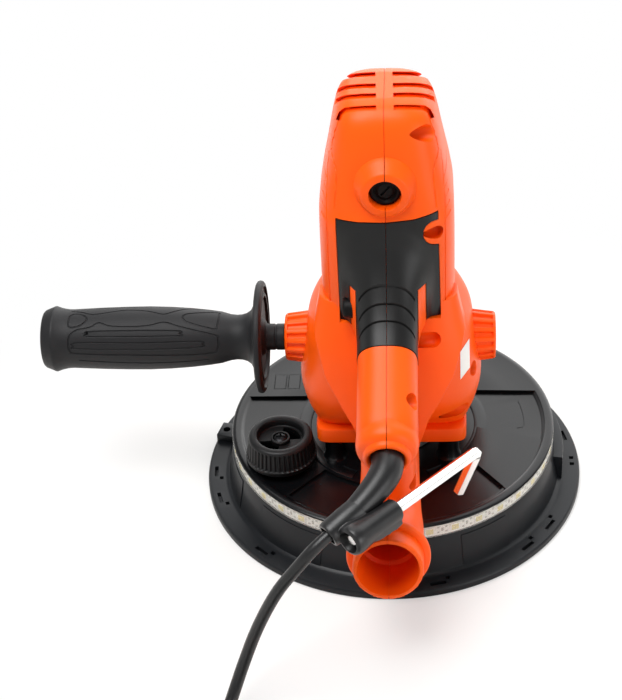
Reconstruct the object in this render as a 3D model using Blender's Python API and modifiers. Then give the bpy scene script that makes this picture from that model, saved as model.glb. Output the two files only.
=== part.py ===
"""Hand-held plaster sander: upright motor, gear case, lit dust shroud, rear loop handle, side handle.

The frame's origin is the centre of the working face on the floor. +Z is up, the side handle points
along -X, and the loop handle, the dust port and the cord are at the rear, along -Y.
Sizes are in millimetres and become metres when a shape is made.
"""
import math

import bmesh
import bpy
from mathutils import Matrix, Vector

MM = 0.001
GAP = 0.3
SEAM = 0.15

# Working face and shroud
PAD_RADIUS = 90.0
DISC_TOP = 1.0
PAD_TOP = 8.0
PLATE_TOP = 12.0
DRUM_LIP_RADIUS = 97.0
DRUM_WALL_RADIUS = 95.0
DRUM_TOP = 36.0
DRUM_LIP_TOP = 38.0
SKIRT_RADIUS = 112.5
SKIRT_TOP = 26.3
LIGHT_LOW, LIGHT_HIGH = 27.0, 35.0
LIGHT_RADIUS = 96.8
HOLE_CIRCLE = 62.0
HOLE_RADIUS = 6.0
HOLE_COUNT = 6
FLANGE_SLOTS = 10

# Suction knob
KNOB_X, KNOB_Y = -64.0, -34.0
KNOB_RADIUS = 21.0
KNOB_LOW, KNOB_TOP = 38.6, 57.0
KNOB_FLOOR = 48.2

# Drive train, two spur stages that come back to the motor's axis
MODULE = 1.0
PRESSURE_ANGLE = math.radians(25.0)
TOOTH_SLACK = 0.14
MOTOR_PINION, COUNTER_GEAR = 12, 36
COUNTER_PINION, SPINDLE_GEAR = 14, 34
COUNTER_X = (MOTOR_PINION + COUNTER_GEAR) * MODULE / 2
SPINDLE_RADIUS = 6.0
ARMATURE_RADIUS = 4.0
BRUSH_Z = 215.0

# Side handle
SIDE_Z = 100.0

# Rear handle: top line, underside, half width, squareness
HANDLE = (
    ((-26.0, 196.0), (-26.0, 122.0), 16.5, 2.6),
    ((-43.5, 193.0), (-39.0, 124.0), 17.0, 2.6),
    ((-56.0, 173.6), (-50.0, 122.5), 16.4, 2.6),
    ((-67.0, 161.5), (-58.0, 119.0), 16.0, 2.6),
    ((-80.0, 151.6), (-67.5, 114.5), 15.9, 2.6),
    ((-105.0, 138.5), (-94.0, 104.5), 15.9, 2.6),
    ((-119.0, 131.5), (-110.0, 98.5), 15.8, 2.6),
    ((-125.5, 126.0), (-118.5, 101.0), 12.8, 2.5),
)
# Motor barrel: height, half width, rear, front, squareness
BARREL = (
    (98.0, 34.0, -38.0, 38.0, 4.0),
    (128.0, 36.2, -41.0, 40.0, 4.0),
    (190.0, 36.2, -42.0, 41.0, 4.0),
    (206.0, 34.8, -41.5, 40.5, 4.0),
    (226.0, 30.8, -38.5, 38.0, 3.8),
    (244.0, 27.2, -33.8, 33.8, 3.6),
    (253.0, 24.2, -29.0, 29.0, 3.4),
    (258.0, 19.5, -23.0, 23.0, 3.0),
    (260.0, 12.0, -15.0, 15.0, 2.6),
)
# Gear bell
BELL = (
    (45.5, 41.0, -37.0, 37.0, 6.0),
    (56.5, 41.0, -37.0, 37.0, 6.0),
    (64.0, 45.0, -41.0, 41.0, 3.4),
    (73.0, 51.2, -46.0, 46.0, 2.8),
    (86.0, 52.0, -49.0, 49.0, 2.7),
    (108.0, 48.0, -50.0, 49.5, 2.8),
    (119.0, 45.5, -48.0, 47.0, 3.0),
    (131.0, 37.0, -42.5, 41.0, 4.0),
    (136.0, 33.0, -38.0, 37.0, 4.0),
)
# Dust duct: place along the length, half width, underside, top, squareness
DUCT = (
    (-40.0, 15.6, 36.4, 70.0, 5.0),
    (-85.0, 16.2, 36.4, 74.0, 5.0),
    (-91.0, 16.4, 40.2, 75.0, 4.0),
    (-110.0, 17.2, 41.6, 77.4, 3.0),
    (-124.0, 18.3, 43.2, 79.8, 2.0),
    (-157.0, 18.3, 47.7, 84.3, 2.0),
)
PORT_TILT = math.radians(8.0)
PORT_Y, PORT_Z = -157.0, 66.0
PORT_BORE = 15.2
# Column between the handle's end and the duct
COLUMN = (
    (66.0, 14.0, -121.0, -92.0, 3.0),
    (84.0, 14.4, -118.5, -95.0, 3.0),
    (108.0, 14.0, -120.0, -93.0, 3.0),
)
WALL = 3.0
SKIN = 1.5
RING = 20

# Housing screws: rear distance, height, seat of the head
SCREWS = (
    (-31.0, 243.0, 12.0),
    (-36.5, 199.0, 19.5),
    (-42.6, 126.0, 17.0),
    (-30.0, 98.0, 38.0),
    (-37.0, 75.0, 22.0),
    (-95.0, 136.0, 6.0),
    (-112.0, 86.5, 7.0),
)

# Cord
CORD_RADIUS = 3.25
CORD_AXIS = Vector((0.0, -0.978, -0.208))
GLAND = Vector((0.0, -124.0, 112.5))
SLEEVE_ROUTE = ((0.0, -118.1, 113.7), (0.0, -124.0, 112.5), (0.0, -131.8, 110.8), (-3.5, -141.0, 108.8),
                (-13.0, -153.0, 105.0), (-27.4, -165.0, 99.4))
CORD_ROUTE = ((-28.2, -165.7, 99.0), (-36.2, -171.2, 94.0), (-43.0, -174.2, 86.0), (-53.7, -176.3, 70.0),
              (-63.5, -178.6, 48.0), (-71.8, -184.0, 27.0), (-79.7, -195.0, 11.0), (-85.5, -210.0, 4.6),
              (-87.6, -228.0, 3.4), (-88.3, -250.0, 3.4))
COIL_X, COIL_Y = -42.0, -272.0
COIL_RADIUS = 35.75
COIL_PITCH = 7.1
COIL_RISE = 6.95
COIL_LAYERS = 4
COIL_TURNS = 2.0
COIL_LOW = 4.9
COIL_OUTER = COIL_RADIUS + COIL_PITCH * COIL_TURNS / 2
TAIL_ROUTE = ((-41.6, -314.9, 25.75), (-24.0, -315.6, 24.2), (-8.0, -317.6, 17.5), (6.0, -319.5, 12.0),
              (14.0, -320.0, 12.0))
KEY_A = Vector((-16.9, -172.2, 98.0))
KEY_B = Vector((45.4, -106.1, 98.0))
KEY_RADIUS = 3.2
KEY_SHORT = 29.0

# An outline drawn in YZ, extruded along X, and one drawn in XZ, extruded along Y
ACROSS = Matrix(((0.0, 0.0, 1.0), (1.0, 0.0, 0.0), (0.0, 1.0, 0.0))).to_4x4()
STANDING = Matrix(((1.0, 0.0, 0.0), (0.0, 0.0, -1.0), (0.0, 1.0, 0.0))).to_4x4()

COLOURS = {
    "orange": (0.95, 0.16, 0.02), "black": (0.03, 0.03, 0.03), "steel": (0.6, 0.6, 0.62),
    "alloy": (0.72, 0.73, 0.74), "brass": (0.8, 0.6, 0.25), "copper": (0.7, 0.32, 0.16),
    "carbon": (0.06, 0.06, 0.06), "foam": (0.15, 0.15, 0.16), "paper": (0.55, 0.42, 0.28),
    "light": (0.9, 0.88, 0.8), "rubber": (0.04, 0.04, 0.04),
}


def clear_scene():
    """Start from an empty scene."""
    for item in list(bpy.data.objects):
        bpy.data.objects.remove(item, do_unlink=True)


def make_collection(name):
    """A collection linked to the scene."""
    collection = bpy.data.collections.new(name)
    bpy.context.scene.collection.children.link(collection)
    return collection


clear_scene()
PARTS = make_collection("plaster_sander")
CUTTERS = make_collection("cutters")


def paint(item, finish):
    """Give a piece its own Principled material."""
    material = bpy.data.materials.new(item.name + "_" + finish)
    material.use_nodes = True
    shader = material.node_tree.nodes["Principled BSDF"]
    shader.inputs["Base Color"].default_value = (*COLOURS[finish], 1.0)
    shader.inputs["Roughness"].default_value = 0.45
    shader.inputs["Metallic"].default_value = 1.0 if finish in ("steel", "alloy", "brass", "copper") else 0.0
    item.data.materials.clear()
    item.data.materials.append(material)


def settle(item):
    """Replace an object's mesh by what its modifiers or its curve give, merged."""
    graph = bpy.context.evaluated_depsgraph_get()
    graph.update()
    mesh = bpy.data.meshes.new_from_object(item.evaluated_get(graph))
    return mesh


def tidy(mesh, outwards=True, distance=0.00001):
    """Merge doubles and, on a single skin, turn every face outwards."""
    work = bmesh.new()
    work.from_mesh(mesh)
    bmesh.ops.remove_doubles(work, verts=work.verts, dist=distance)
    if outwards:
        bmesh.ops.recalc_face_normals(work, faces=work.faces)
    work.to_mesh(mesh)
    work.free()


def mesh_object(name, mesh):
    """A scratch mesh object; it becomes a piece when finish() names its material."""
    item = bpy.data.objects.new(name, mesh)
    CUTTERS.objects.link(item)
    return item


def from_curve(name, curve, place=None):
    """Turn a curve into a closed mesh object."""
    item = bpy.data.objects.new(name + "_curve", curve)
    CUTTERS.objects.link(item)
    mesh = settle(item)
    bpy.data.objects.remove(item)
    tidy(mesh)
    if place is not None:
        mesh.transform(place)
    return mesh_object(name, mesh)


def loft(name, rings):
    """Skin a row of unlike sections and close both ends."""
    work = bmesh.new()
    rows = [[work.verts.new(Vector(point) * MM) for point in ring] for ring in rings]
    for low, high in zip(rows, rows[1:]):
        for index in range(len(low)):
            after = (index + 1) % len(low)
            work.faces.new((low[index], low[after], high[after], high[index]))
    work.faces.new(rows[0])
    work.faces.new(rows[-1])
    bmesh.ops.recalc_face_normals(work, faces=work.faces)
    mesh = bpy.data.meshes.new(name)
    work.to_mesh(mesh)
    work.free()
    return mesh_object(name, mesh)


def turned(name, profile, steps=32, closed=False, place=None):
    """Turn a profile of radius and height about Z; it runs down its outer side."""
    mesh = bpy.data.meshes.new(name)
    points = [(radius * MM, 0.0, height * MM) for radius, height in profile]
    edges = [(index, index + 1) for index in range(len(points) - 1)]
    if closed:
        edges.append((len(points) - 1, 0))
    mesh.from_pydata(points, edges, [])
    item = mesh_object(name, mesh)
    screw = item.modifiers.new("turn", "SCREW")
    screw.steps = steps
    screw.render_steps = steps
    screw.use_merge_vertices = True
    screw.merge_threshold = 0.00001
    screw.use_normal_calculate = True
    item.data = settle(item)
    item.modifiers.clear()
    tidy(item.data)
    if place is not None:
        item.data.transform(place)
    return item


def plate(name, outlines, low, high, place=None):
    """Extrude flat outlines; the first is the edge and the others are holes."""
    curve = bpy.data.curves.new(name, "CURVE")
    curve.dimensions = "2D"
    curve.fill_mode = "BOTH"
    curve.extrude = (high - low) * MM / 2
    for outline in outlines:
        spline = curve.splines.new("POLY")
        spline.points.add(len(outline) - 1)
        for point, (across, along) in zip(spline.points, outline):
            point.co = (across * MM, along * MM, 0.0, 1.0)
        spline.use_cyclic_u = True
    lift = Matrix.Translation((0.0, 0.0, (low + high) * MM / 2))
    return from_curve(name, curve, lift if place is None else place @ lift)


def box(name, low, high, place=None):
    """A plain block between two corners."""
    mesh = bpy.data.meshes.new(name)
    work = bmesh.new()
    bmesh.ops.create_cube(work, size=1.0)
    size = Vector(high) - Vector(low)
    middle = (Vector(high) + Vector(low)) / 2
    for vert in work.verts:
        vert.co = Vector([vert.co[axis] * size[axis] + middle[axis] for axis in range(3)]) * MM
    work.to_mesh(mesh)
    work.free()
    if place is not None:
        mesh.transform(place)
    return mesh_object(name, mesh)


def rod(name, start, end, radius, steps=20, radius_end=None):
    """A round bar or cone from one point to another."""
    start, end = Vector(start), Vector(end)
    length = (end - start).length
    last = radius if radius_end is None else radius_end
    turn = (end - start).to_track_quat("Z", "Y").to_matrix().to_4x4()
    place = Matrix.Translation(start * MM) @ turn
    profile = ((0.0, length), (last, length), (radius, 0.0), (0.0, 0.0))
    return turned(name, profile, steps, place=place)


def tube(name, route, radius, resolution=2, radii=None):
    """A filled tube along a row of points."""
    curve = bpy.data.curves.new(name, "CURVE")
    curve.dimensions = "3D"
    curve.bevel_depth = radius * MM
    curve.bevel_resolution = resolution
    curve.use_fill_caps = True
    spline = curve.splines.new("POLY")
    spline.points.add(len(route) - 1)
    for index, point in enumerate(route):
        spline.points[index].co = (*(Vector(point) * MM), 1.0)
        spline.points[index].radius = 1.0 if radii is None else radii[index] / radius
    return from_curve(name, curve)


def combine(target, tool, operation="DIFFERENCE", keep=False):
    """Apply an exact Boolean of a tool to a target."""
    modifier = target.modifiers.new("shape", "BOOLEAN")
    modifier.operation = operation
    modifier.solver = "EXACT"
    modifier.object = tool
    target.data = settle(target)
    target.modifiers.clear()
    tidy(target.data, outwards=False)
    if not keep:
        bpy.data.objects.remove(tool)
    return target


def copy_of(item, name):
    """A second mesh object of the same shape."""
    return mesh_object(name, item.data.copy())


def flatten(mesh):
    """Join the flat faces that Booleans leave in pieces."""
    work = bmesh.new()
    work.from_mesh(mesh)
    bmesh.ops.dissolve_degenerate(work, dist=0.000005, edges=work.edges)
    bmesh.ops.dissolve_limit(work, angle_limit=0.02, verts=work.verts, edges=work.edges)
    work.to_mesh(mesh)
    work.free()


def finish(item, name, finish_name, home=None):
    """Name a piece, paint it, and hang a moving one on the empty of its joint."""
    flatten(item.data)
    CUTTERS.objects.unlink(item)
    PARTS.objects.link(item)
    item.name = name
    item.data.name = name
    paint(item, finish_name)
    if home is not None:
        item.data.transform(Matrix.Translation(-home.location))
        item.parent = home
    return item


def joint_home(name, point):
    """An empty on a joint's axis that carries the pieces of its body."""
    home = bpy.data.objects.new(name, None)
    home.location = Vector(point) * MM
    home.empty_display_size = 0.01
    home.hide_render = True
    PARTS.objects.link(home)
    return home


def oval(half_across, half_along, power, count):
    """Points around a rounded rectangle, none of them on the seam."""
    points = []
    for index in range(count):
        angle = 2 * math.pi * (index + 0.5) / count
        across, along = math.cos(angle), math.sin(angle)
        points.append((math.copysign(abs(across) ** (2 / power), across) * half_across,
                       math.copysign(abs(along) ** (2 / power), along) * half_along))
    return points


def circle(radius, count, x=0.0, y=0.0):
    """Points around a circle."""
    return [(x + radius * math.cos(2 * math.pi * index / count),
             y + radius * math.sin(2 * math.pi * index / count)) for index in range(count)]


def upright(stations, inset=0.0, count=RING):
    """Sections of an upright form, shrunk by an inset."""
    rings = []
    for height, half_x, rear, front, power in stations:
        middle, half_y = (rear + front) / 2, (front - rear) / 2
        rings.append([(x, middle + y, height) for x, y in oval(half_x - inset, half_y - inset, power, count)])
    return rings


def handle_rings(inset=0.0, count=16, stations=HANDLE):
    """Sections of the rear handle between its top line and its underside."""
    rings = []
    for top, low, half_x, power in stations:
        high, down = Vector((0.0, *top)), Vector((0.0, *low))
        middle, along = (high + down) / 2, (high - down).normalized()
        half = (high - down).length / 2 - inset
        rings.append([middle + along * y + Vector((x, 0.0, 0.0))
                      for x, y in oval(half_x - inset, half, power, count)])
    return rings


def duct_rings(inset=0.0, count=16, stations=DUCT):
    """Sections of the dust duct; the round ones are square to the tilted port."""
    rings = []
    for rear, half_x, low, top, power in stations:
        middle, half_z = (low + top) / 2, (top - low) / 2
        lean = math.tan(PORT_TILT) if power == 2.0 else 0.0
        rings.append([(x, rear + lean * z, middle + z)
                      for x, z in oval(half_x - inset, half_z - inset, power, count)])
    return rings


def port_place(distance):
    """The dust port's frame, with Z along its axis, a distance in from the mouth."""
    out = Vector((0.0, -math.cos(PORT_TILT), math.sin(PORT_TILT)))
    point = Vector((0.0, PORT_Y, PORT_Z)) - out * distance
    return Matrix.Translation(point * MM) @ out.to_track_quat("Z", "Y").to_matrix().to_4x4()


def grip_body(inset):
    """The part of the housing that carries the soft grip, shrunk by an inset."""
    barrel = loft("grip_barrel", upright(BARREL[1:5], inset))
    return combine(barrel, loft("grip_handle", handle_rings(inset, stations=HANDLE[:6])), "UNION")


def plain_body(inset=0.0):
    """Bell, barrel, handle, duct and column in one, shrunk by an inset."""
    body = loft("body", upright(BELL, inset))
    combine(body, loft("barrel", upright(BARREL, inset)), "UNION")
    combine(body, loft("handle", handle_rings(inset)), "UNION")
    combine(body, loft("duct", duct_rings(inset)), "UNION")
    return combine(body, loft("column", upright(COLUMN, inset, 12)), "UNION")


def housing_body():
    """The whole outer form of the housing before it is hollowed."""
    body = plain_body()
    for side in (-1, 1):
        boss = rod("side_boss", (side * 36.0, 0.0, SIDE_Z), (side * 60.0, 0.0, SIDE_Z), 14.6, 12, 11.2)
        combine(body, boss, "UNION")
        cap_boss = rod("cap_boss", (0.0, side * 26.0, BRUSH_Z), (0.0, side * 41.4, BRUSH_Z), 13.4, 14)
        combine(body, cap_boss, "UNION")
    collar = rod("collar", GLAND - CORD_AXIS * 6.0, GLAND + CORD_AXIS * 5.5, 12.0, 12)
    combine(body, collar, "UNION")
    bead = turned("bead", ((0.0, 2.4), (19.6, 2.4), (21.3, 0.0), (19.6, -2.4), (0.0, -2.4)), 16,
                  place=port_place(12.0))
    combine(body, bead, "UNION")
    rear, height, seat = SCREWS[1]
    combine(body, rod("grip_screw_boss", (18.0, rear, height), (30.0, rear, height), 6.6, 12), "UNION")
    return body


def hollow(body):
    """Take out the motor space, the handle's inside, the duct and every opening."""
    inner_bell = [(50.0, 39.6, -35.6, 35.6, 6.0), (57.6, 39.6, -35.6, 35.6, 5.0)] + list(BELL[3:])
    inner_barrel = ((98.0, 36.2, -41.0, 40.0, 4.0), BARREL[2], BARREL[4], BARREL[5], BARREL[6], BARREL[7])
    space = loft("bell_space", upright(inner_bell, WALL, 16))
    combine(space, loft("motor_space", upright(inner_barrel, WALL, 16)), "UNION")
    combine(space, loft("handle_space", handle_rings(WALL, 12, HANDLE[:3] + HANDLE[4:7])), "UNION")
    combine(body, space)
    bore = [(-53.0, 16.2, 39.6, 74.0, 5.0), DUCT[1], DUCT[4], (-166.0, 18.3, 48.97, 85.57, 2.0)]
    combine(body, loft("duct_space", duct_rings(18.3 - PORT_BORE, 16, bore)))
    combine(body, box("duct_mouth", (-12.0, -82.0, 30.0), (12.0, -56.0, 50.0)))
    combine(body, rod("neck_hole", (0.0, 0.0, 40.0), (0.0, 0.0, 55.0), 29.8, 20))
    for side in (-1, 1):
        combine(body, rod("insert_hole", (side * 38.0, 0.0, SIDE_Z), (side * 64.0, 0.0, SIDE_Z), 6.9, 12))
        combine(body, rod("cap_hole", (0.0, side * 24.0, BRUSH_Z), (0.0, side * 50.0, BRUSH_Z), 8.8, 12))
    combine(body, rod("cord_hole", GLAND - CORD_AXIS * 14.0, GLAND + CORD_AXIS * 12.0, 8.9, 12))
    for row in range(4):
        middle = -20.0 + 8.8 * row
        for side in (-1, 1):
            near, far = sorted((side * 5.6, side * 40.0))
            combine(body, box("vent", (near, middle - 1.5, 250.5), (far, middle + 1.5, 270.0)))
    return body


def add_ribs(body, core):
    """Inner bridge for the upper bearing and the bosses of the housing screws."""
    bridge = box("bridge", (-60.0, -15.0, 231.0), (60.0, 15.0, 235.0))
    combine(bridge, core, "INTERSECT", keep=True)
    combine(body, bridge, "UNION")
    combine(body, rod("bridge_hole", (0.0, 0.0, 228.0), (0.0, 0.0, 240.0), 13.2, 14))
    for rear, height, seat in SCREWS:
        boss = rod("screw_boss", (-70.0, rear, height), (70.0, rear, height), 5.4, 6)
        combine(boss, core, "INTERSECT", keep=True)
        combine(body, boss, "UNION")
        combine(body, rod("shank_hole", (-9.5, rear, height), (seat + 1.0, rear, height), 2.4, 5))
        combine(body, rod("head_hole", (seat, rear, height), (80.0, rear, height), 4.4, 8))
    return body


def grip_region(shrink):
    """Where the soft grip lies: rear panel, its two legs and the tongue on the handle."""
    edge = 27.0 - shrink
    region = box("panel", (-edge, -90.0, 168.0), (edge, -20.0, 205.0 - shrink))
    for side in (-1, 1):
        near, far = sorted((side * (19.5 + shrink), side * edge))
        combine(region, box("leg", (near, -62.0, 140.0 + shrink), (far, -20.0, 175.0)), "UNION")
    outline = ((-38.0, 176.0), (-38.0, 150.0 + shrink), (-53.5, 143.0 + shrink), (-71.0, 131.0 + shrink),
               (-80.5 + shrink, 152.0), (-86.0 + shrink, 166.5), (-70.0, 196.0), (-50.0, 196.0))
    tongue = plate("tongue", (outline,), -18.0, 18.0, ACROSS)
    combine(region, tongue, "UNION")
    rear, height, seat = SCREWS[1]
    clear = rod("boss_clear", (17.5, rear, height), (60.0, rear, height), 8.4 + shrink, 12)
    return combine(region, clear)


def half(item, side, name):
    """One side of a piece that is split at the seam."""
    piece = copy_of(item, name)
    near, far = sorted((side * SEAM, side * -320.0))
    return combine(piece, box("side", (near, -400.0, -50.0), (far, 400.0, 400.0)))


def trigger_place():
    """The trigger's frame: X across, Y along the underside, Z out of it."""
    along = Vector((0.0, -0.914, -0.403)).normalized()
    out = Vector((0.0, along.z, -along.y)) * -1.0
    across = along.cross(out)
    turn = Matrix((across, along, out)).transposed().to_4x4()
    return Matrix.Translation(Vector((0.0, -75.0, 111.2)) * MM) @ turn


def make_housing():
    """Both orange halves and both soft grips."""
    outer = housing_body()
    core = plain_body(1.2)
    body = add_ribs(hollow(copy_of(outer, "shell")), core)
    bpy.data.objects.remove(core)
    pocket = combine(grip_region(0.0), grip_body(SKIN + GAP))
    combine(body, pocket)
    grip = combine(combine(grip_region(GAP), outer, "INTERSECT", keep=True), grip_body(SKIN))
    combine(body, box("trigger_slot", (-6.7, -13.6, -14.0), (6.7, 13.6, 12.0), trigger_place()))
    bpy.data.objects.remove(outer)
    for side, word in ((-1, "left"), (1, "right")):
        shell = half(body, side, "shell_" + word)
        cover = half(grip, side, "cover_" + word)
        if side < 0:
            for item in (shell, cover):
                combine(item, rod("button_hole", (-4.0, -57.0, 160.0), (-40.0, -57.0, 160.0), 6.6, 12))
        finish(shell, "housing_" + word, "orange")
        finish(cover, "grip_" + word, "rubber")
    bpy.data.objects.remove(body)
    bpy.data.objects.remove(grip)
    for index, (rear, height, seat) in enumerate(SCREWS):
        profile = ((0.0, 2.6), (3.0, 2.6), (3.7, 0.0), (1.8, 0.0), (1.8, -seat - 8.0), (0.0, -seat - 8.0))
        turn = Vector((1.0, 0.0, 0.0)).to_track_quat("Z", "Y").to_matrix().to_4x4()
        place = Matrix.Translation(Vector((seat + GAP, rear, height)) * MM) @ turn
        finish(turned("screw", profile, 6, place=place), "housing_screw_%d" % (index + 1), "steel")


def involute(angle):
    """The involute function."""
    return math.tan(angle) - angle


def gear_outline(teeth, turn=0.0, x=0.0):
    """Outline of a spur gear with straight-chord involute flanks."""
    pitch = teeth * MODULE / 2
    base = pitch * math.cos(PRESSURE_ANGLE)
    tip, root = pitch + MODULE, pitch - 1.25 * MODULE
    thick = (math.pi * MODULE / 2 - TOOTH_SLACK) / 2 / pitch
    start = max(base, root)
    side = []
    if root < start - 0.000001:
        side.append((root, thick + involute(PRESSURE_ANGLE)))
    for radius in (start, tip):
        flank = math.acos(min(1.0, base / radius))
        side.append((radius, thick + involute(PRESSURE_ANGLE) - involute(flank)))
    points = []
    for tooth in range(teeth):
        middle = turn + 2 * math.pi * tooth / teeth
        for radius, angle in side:
            points.append((x + radius * math.cos(middle - angle), radius * math.sin(middle - angle)))
        for radius, angle in reversed(side):
            points.append((x + radius * math.cos(middle + angle), radius * math.sin(middle + angle)))
    return points


def make_drive(spindle_home, counter_home, armature_home):
    """Spindle, countershaft and armature with their gears."""
    profile = ((4.2, 76.6), (5.0, 76.6), (SPINDLE_RADIUS, 75.8), (SPINDLE_RADIUS, 19.0), (14.0, 19.0),
               (14.0, 16.3), (4.2, 16.3))
    spindle = turned("spindle", profile, 14, closed=True)
    finish(spindle, "spindle", "steel", spindle_home)
    gear = plate("gear", (gear_outline(SPINDLE_GEAR), circle(SPINDLE_RADIUS + GAP, 16)), 63.0, 75.5)
    finish(gear, "spindle_gear", "steel", spindle_home)
    shaft = rod("shaft", (COUNTER_X, 0.0, 57.0), (COUNTER_X, 0.0, 88.6), ARMATURE_RADIUS, 12)
    outline = gear_outline(COUNTER_PINION, math.pi + math.pi / COUNTER_PINION, COUNTER_X)
    pinion = plate("pinion", (outline,), 62.4, 77.0)
    finish(combine(shaft, pinion, "UNION"), "countershaft", "steel", counter_home)
    outline = gear_outline(COUNTER_GEAR, math.pi + math.pi / COUNTER_GEAR, COUNTER_X)
    gear = plate("gear", (outline, circle(ARMATURE_RADIUS + GAP + 0.1, 12, COUNTER_X)), 78.3, 87.0)
    finish(gear, "counter_gear", "steel", counter_home)
    shaft = rod("shaft", (0.0, 0.0, 80.0), (0.0, 0.0, 240.0), ARMATURE_RADIUS, 12)
    pinion = plate("pinion", (gear_outline(MOTOR_PINION),), 77.8, 88.8)
    finish(combine(shaft, pinion, "UNION"), "armature_shaft", "steel", armature_home)
    bore = ARMATURE_RADIUS + GAP
    core = ((bore, 192.0), (13.0, 192.0), (16.5, 188.0), (16.5, 184.0), (18.8, 184.0), (18.8, 138.0),
            (16.5, 138.0), (16.5, 134.0), (13.0, 130.0), (bore, 130.0))
    finish(turned("core", core, 12, closed=True), "armature_core", "steel", armature_home)
    ring = ((bore, 225.0), (12.0, 225.0), (12.0, 206.0), (bore, 206.0))
    finish(turned("ring", ring, 14, closed=True), "commutator", "copper", armature_home)
    blades = []
    for blade in range(8):
        for radius, angle in ((9.0, -0.1), (28.0, -0.04), (28.0, 0.04), (9.0, 0.1)):
            turn = 2 * math.pi * blade / 8 + angle
            blades.append((radius * math.cos(turn), radius * math.sin(turn)))
    fan = turned("fan", ((0.0, 110.6), (28.6, 110.6), (28.6, 108.2), (0.0, 108.2)), 20)
    combine(fan, plate("blades", (blades,), 109.6, 119.0), "UNION")
    combine(fan, rod("fan_bore", (0.0, 0.0, 100.0), (0.0, 0.0, 130.0), bore, 12))
    finish(fan, "cooling_fan", "black", armature_home)


def make_pad(spindle_home):
    """Backing plate, foam pad, sanding disc and the bolt that holds them."""
    holes = []
    for index in range(HOLE_COUNT):
        angle = 2 * math.pi * (index + 0.5) / HOLE_COUNT
        holes.append(circle(HOLE_RADIUS, 6, HOLE_CIRCLE * math.cos(angle), HOLE_CIRCLE * math.sin(angle)))
    disc = plate("disc", [circle(PAD_RADIUS, 28)] + holes, 0.0, DISC_TOP)
    finish(disc, "sanding_disc", "paper", spindle_home)
    foam = plate("foam", [circle(PAD_RADIUS, 28), circle(10.0, 10)] + holes, DISC_TOP + GAP, PAD_TOP)
    finish(foam, "foam_pad", "foam", spindle_home)
    backing = plate("backing", [circle(PAD_RADIUS - 4.0, 28)] + holes, PAD_TOP + GAP, PLATE_TOP)
    hub = turned("hub", ((0.0, 16.0), (18.0, 16.0), (20.0, 10.0), (0.0, 10.0)), 16)
    combine(backing, hub, "UNION")
    combine(backing, rod("bolt_hole", (0.0, 0.0, 4.0), (0.0, 0.0, 20.0), 4.4, 12))
    finish(backing, "backing_plate", "black", spindle_home)
    bolt = turned("bolt", ((0.0, 30.0), (3.9, 30.0), (3.9, 8.0), (7.5, 8.0), (7.5, 2.6), (0.0, 2.6)), 12)
    combine(bolt, plate("socket", (circle(3.4, 6),), 1.0, 6.4))
    finish(bolt, "pad_bolt", "steel", spindle_home)


def make_gear_case():
    """Gear case, its cover and every bearing."""
    profile = ((0.0, 62.0), (31.2, 62.0), (31.2, 50.4), (29.0, 50.4), (29.0, 36.3), (0.0, 36.3))
    case = turned("case", profile, 20)
    lower = hull_outline(22.0, 12.0)
    upper = hull_outline(22.4, 22.4)
    combine(case, plate("lower", (lower,), 60.0, 77.0), "UNION")
    combine(case, plate("upper", (upper,), 75.0, 89.0), "UNION")
    room = rod("room", (0.0, 0.0, 61.4), (0.0, 0.0, 77.7), 19.4, 14)
    combine(room, rod("pinion_room", (COUNTER_X, 0.0, 61.8), (COUNTER_X, 0.0, 78.4), 9.2, 12), "UNION")
    combine(room, rod("gear_room", (COUNTER_X, 0.0, 77.5), (COUNTER_X, 0.0, 92.0), 20.2, 14), "UNION")
    combine(room, rod("top_room", (0.0, 0.0, 77.2), (0.0, 0.0, 93.0), 12.0, 10), "UNION")
    combine(room, rod("bearing_room", (0.0, 0.0, 40.8), (0.0, 0.0, 64.0), 14.8, 12), "UNION")
    combine(room, rod("spindle_way", (0.0, 0.0, 30.0), (0.0, 0.0, 45.0), 8.0, 10), "UNION")
    combine(room, rod("shaft_seat", (COUNTER_X, 0.0, 56.4), (COUNTER_X, 0.0, 64.0), 4.5, 12), "UNION")
    combine(case, room)
    finish(case, "gear_case", "alloy")
    profile = ((7.8, 91.2), (11.4, 91.2), (11.4, 99.0), (14.4, 99.0), (14.4, 92.6), (43.6, 92.6),
               (43.6, 89.3), (7.8, 89.3))
    cover = turned("cover", profile, 18, closed=True)
    combine(cover, rod("cut", (COUNTER_X, 0, 88.0), (COUNTER_X, 0, 91.4), 4.5, 12))
    finish(cover, "gear_case_cover", "alloy")
    seats = (("spindle_bearing_lower", SPINDLE_RADIUS, 14.0, 41.1, 49.1),
             ("spindle_bearing_upper", SPINDLE_RADIUS, 14.0, 52.0, 60.0),
             ("armature_bearing_lower", ARMATURE_RADIUS, 11.0, 91.5, 98.5),
             ("armature_bearing_upper", ARMATURE_RADIUS, 9.5, 230.0, 236.0))
    for name, shaft, outside, low, high in seats:
        bore = shaft + GAP + 0.1
        ring = ((bore, high), (outside, high), (outside, low), (bore, low))
        finish(turned("ring", ring, 12, closed=True), name, "steel")
    sleeve = ((9.9, 237.0), (12.5, 237.0), (12.5, 229.4), (9.9, 229.4))
    finish(turned("sleeve", sleeve, 14, closed=True), "bearing_sleeve", "rubber")


def hull_outline(first, second):
    """Outline around the circle on the motor's axis and the one on the countershaft."""
    lean = math.acos((first - second) / COUNTER_X)
    points = []
    for step in range(8):
        angle = lean + (2 * math.pi - 2 * lean) * step / 7
        points.append((first * math.cos(angle), first * math.sin(angle)))
    for step in range(7):
        angle = -lean + 2 * lean * step / 6
        points.append((COUNTER_X + second * math.cos(angle), second * math.sin(angle)))
    return points


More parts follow.
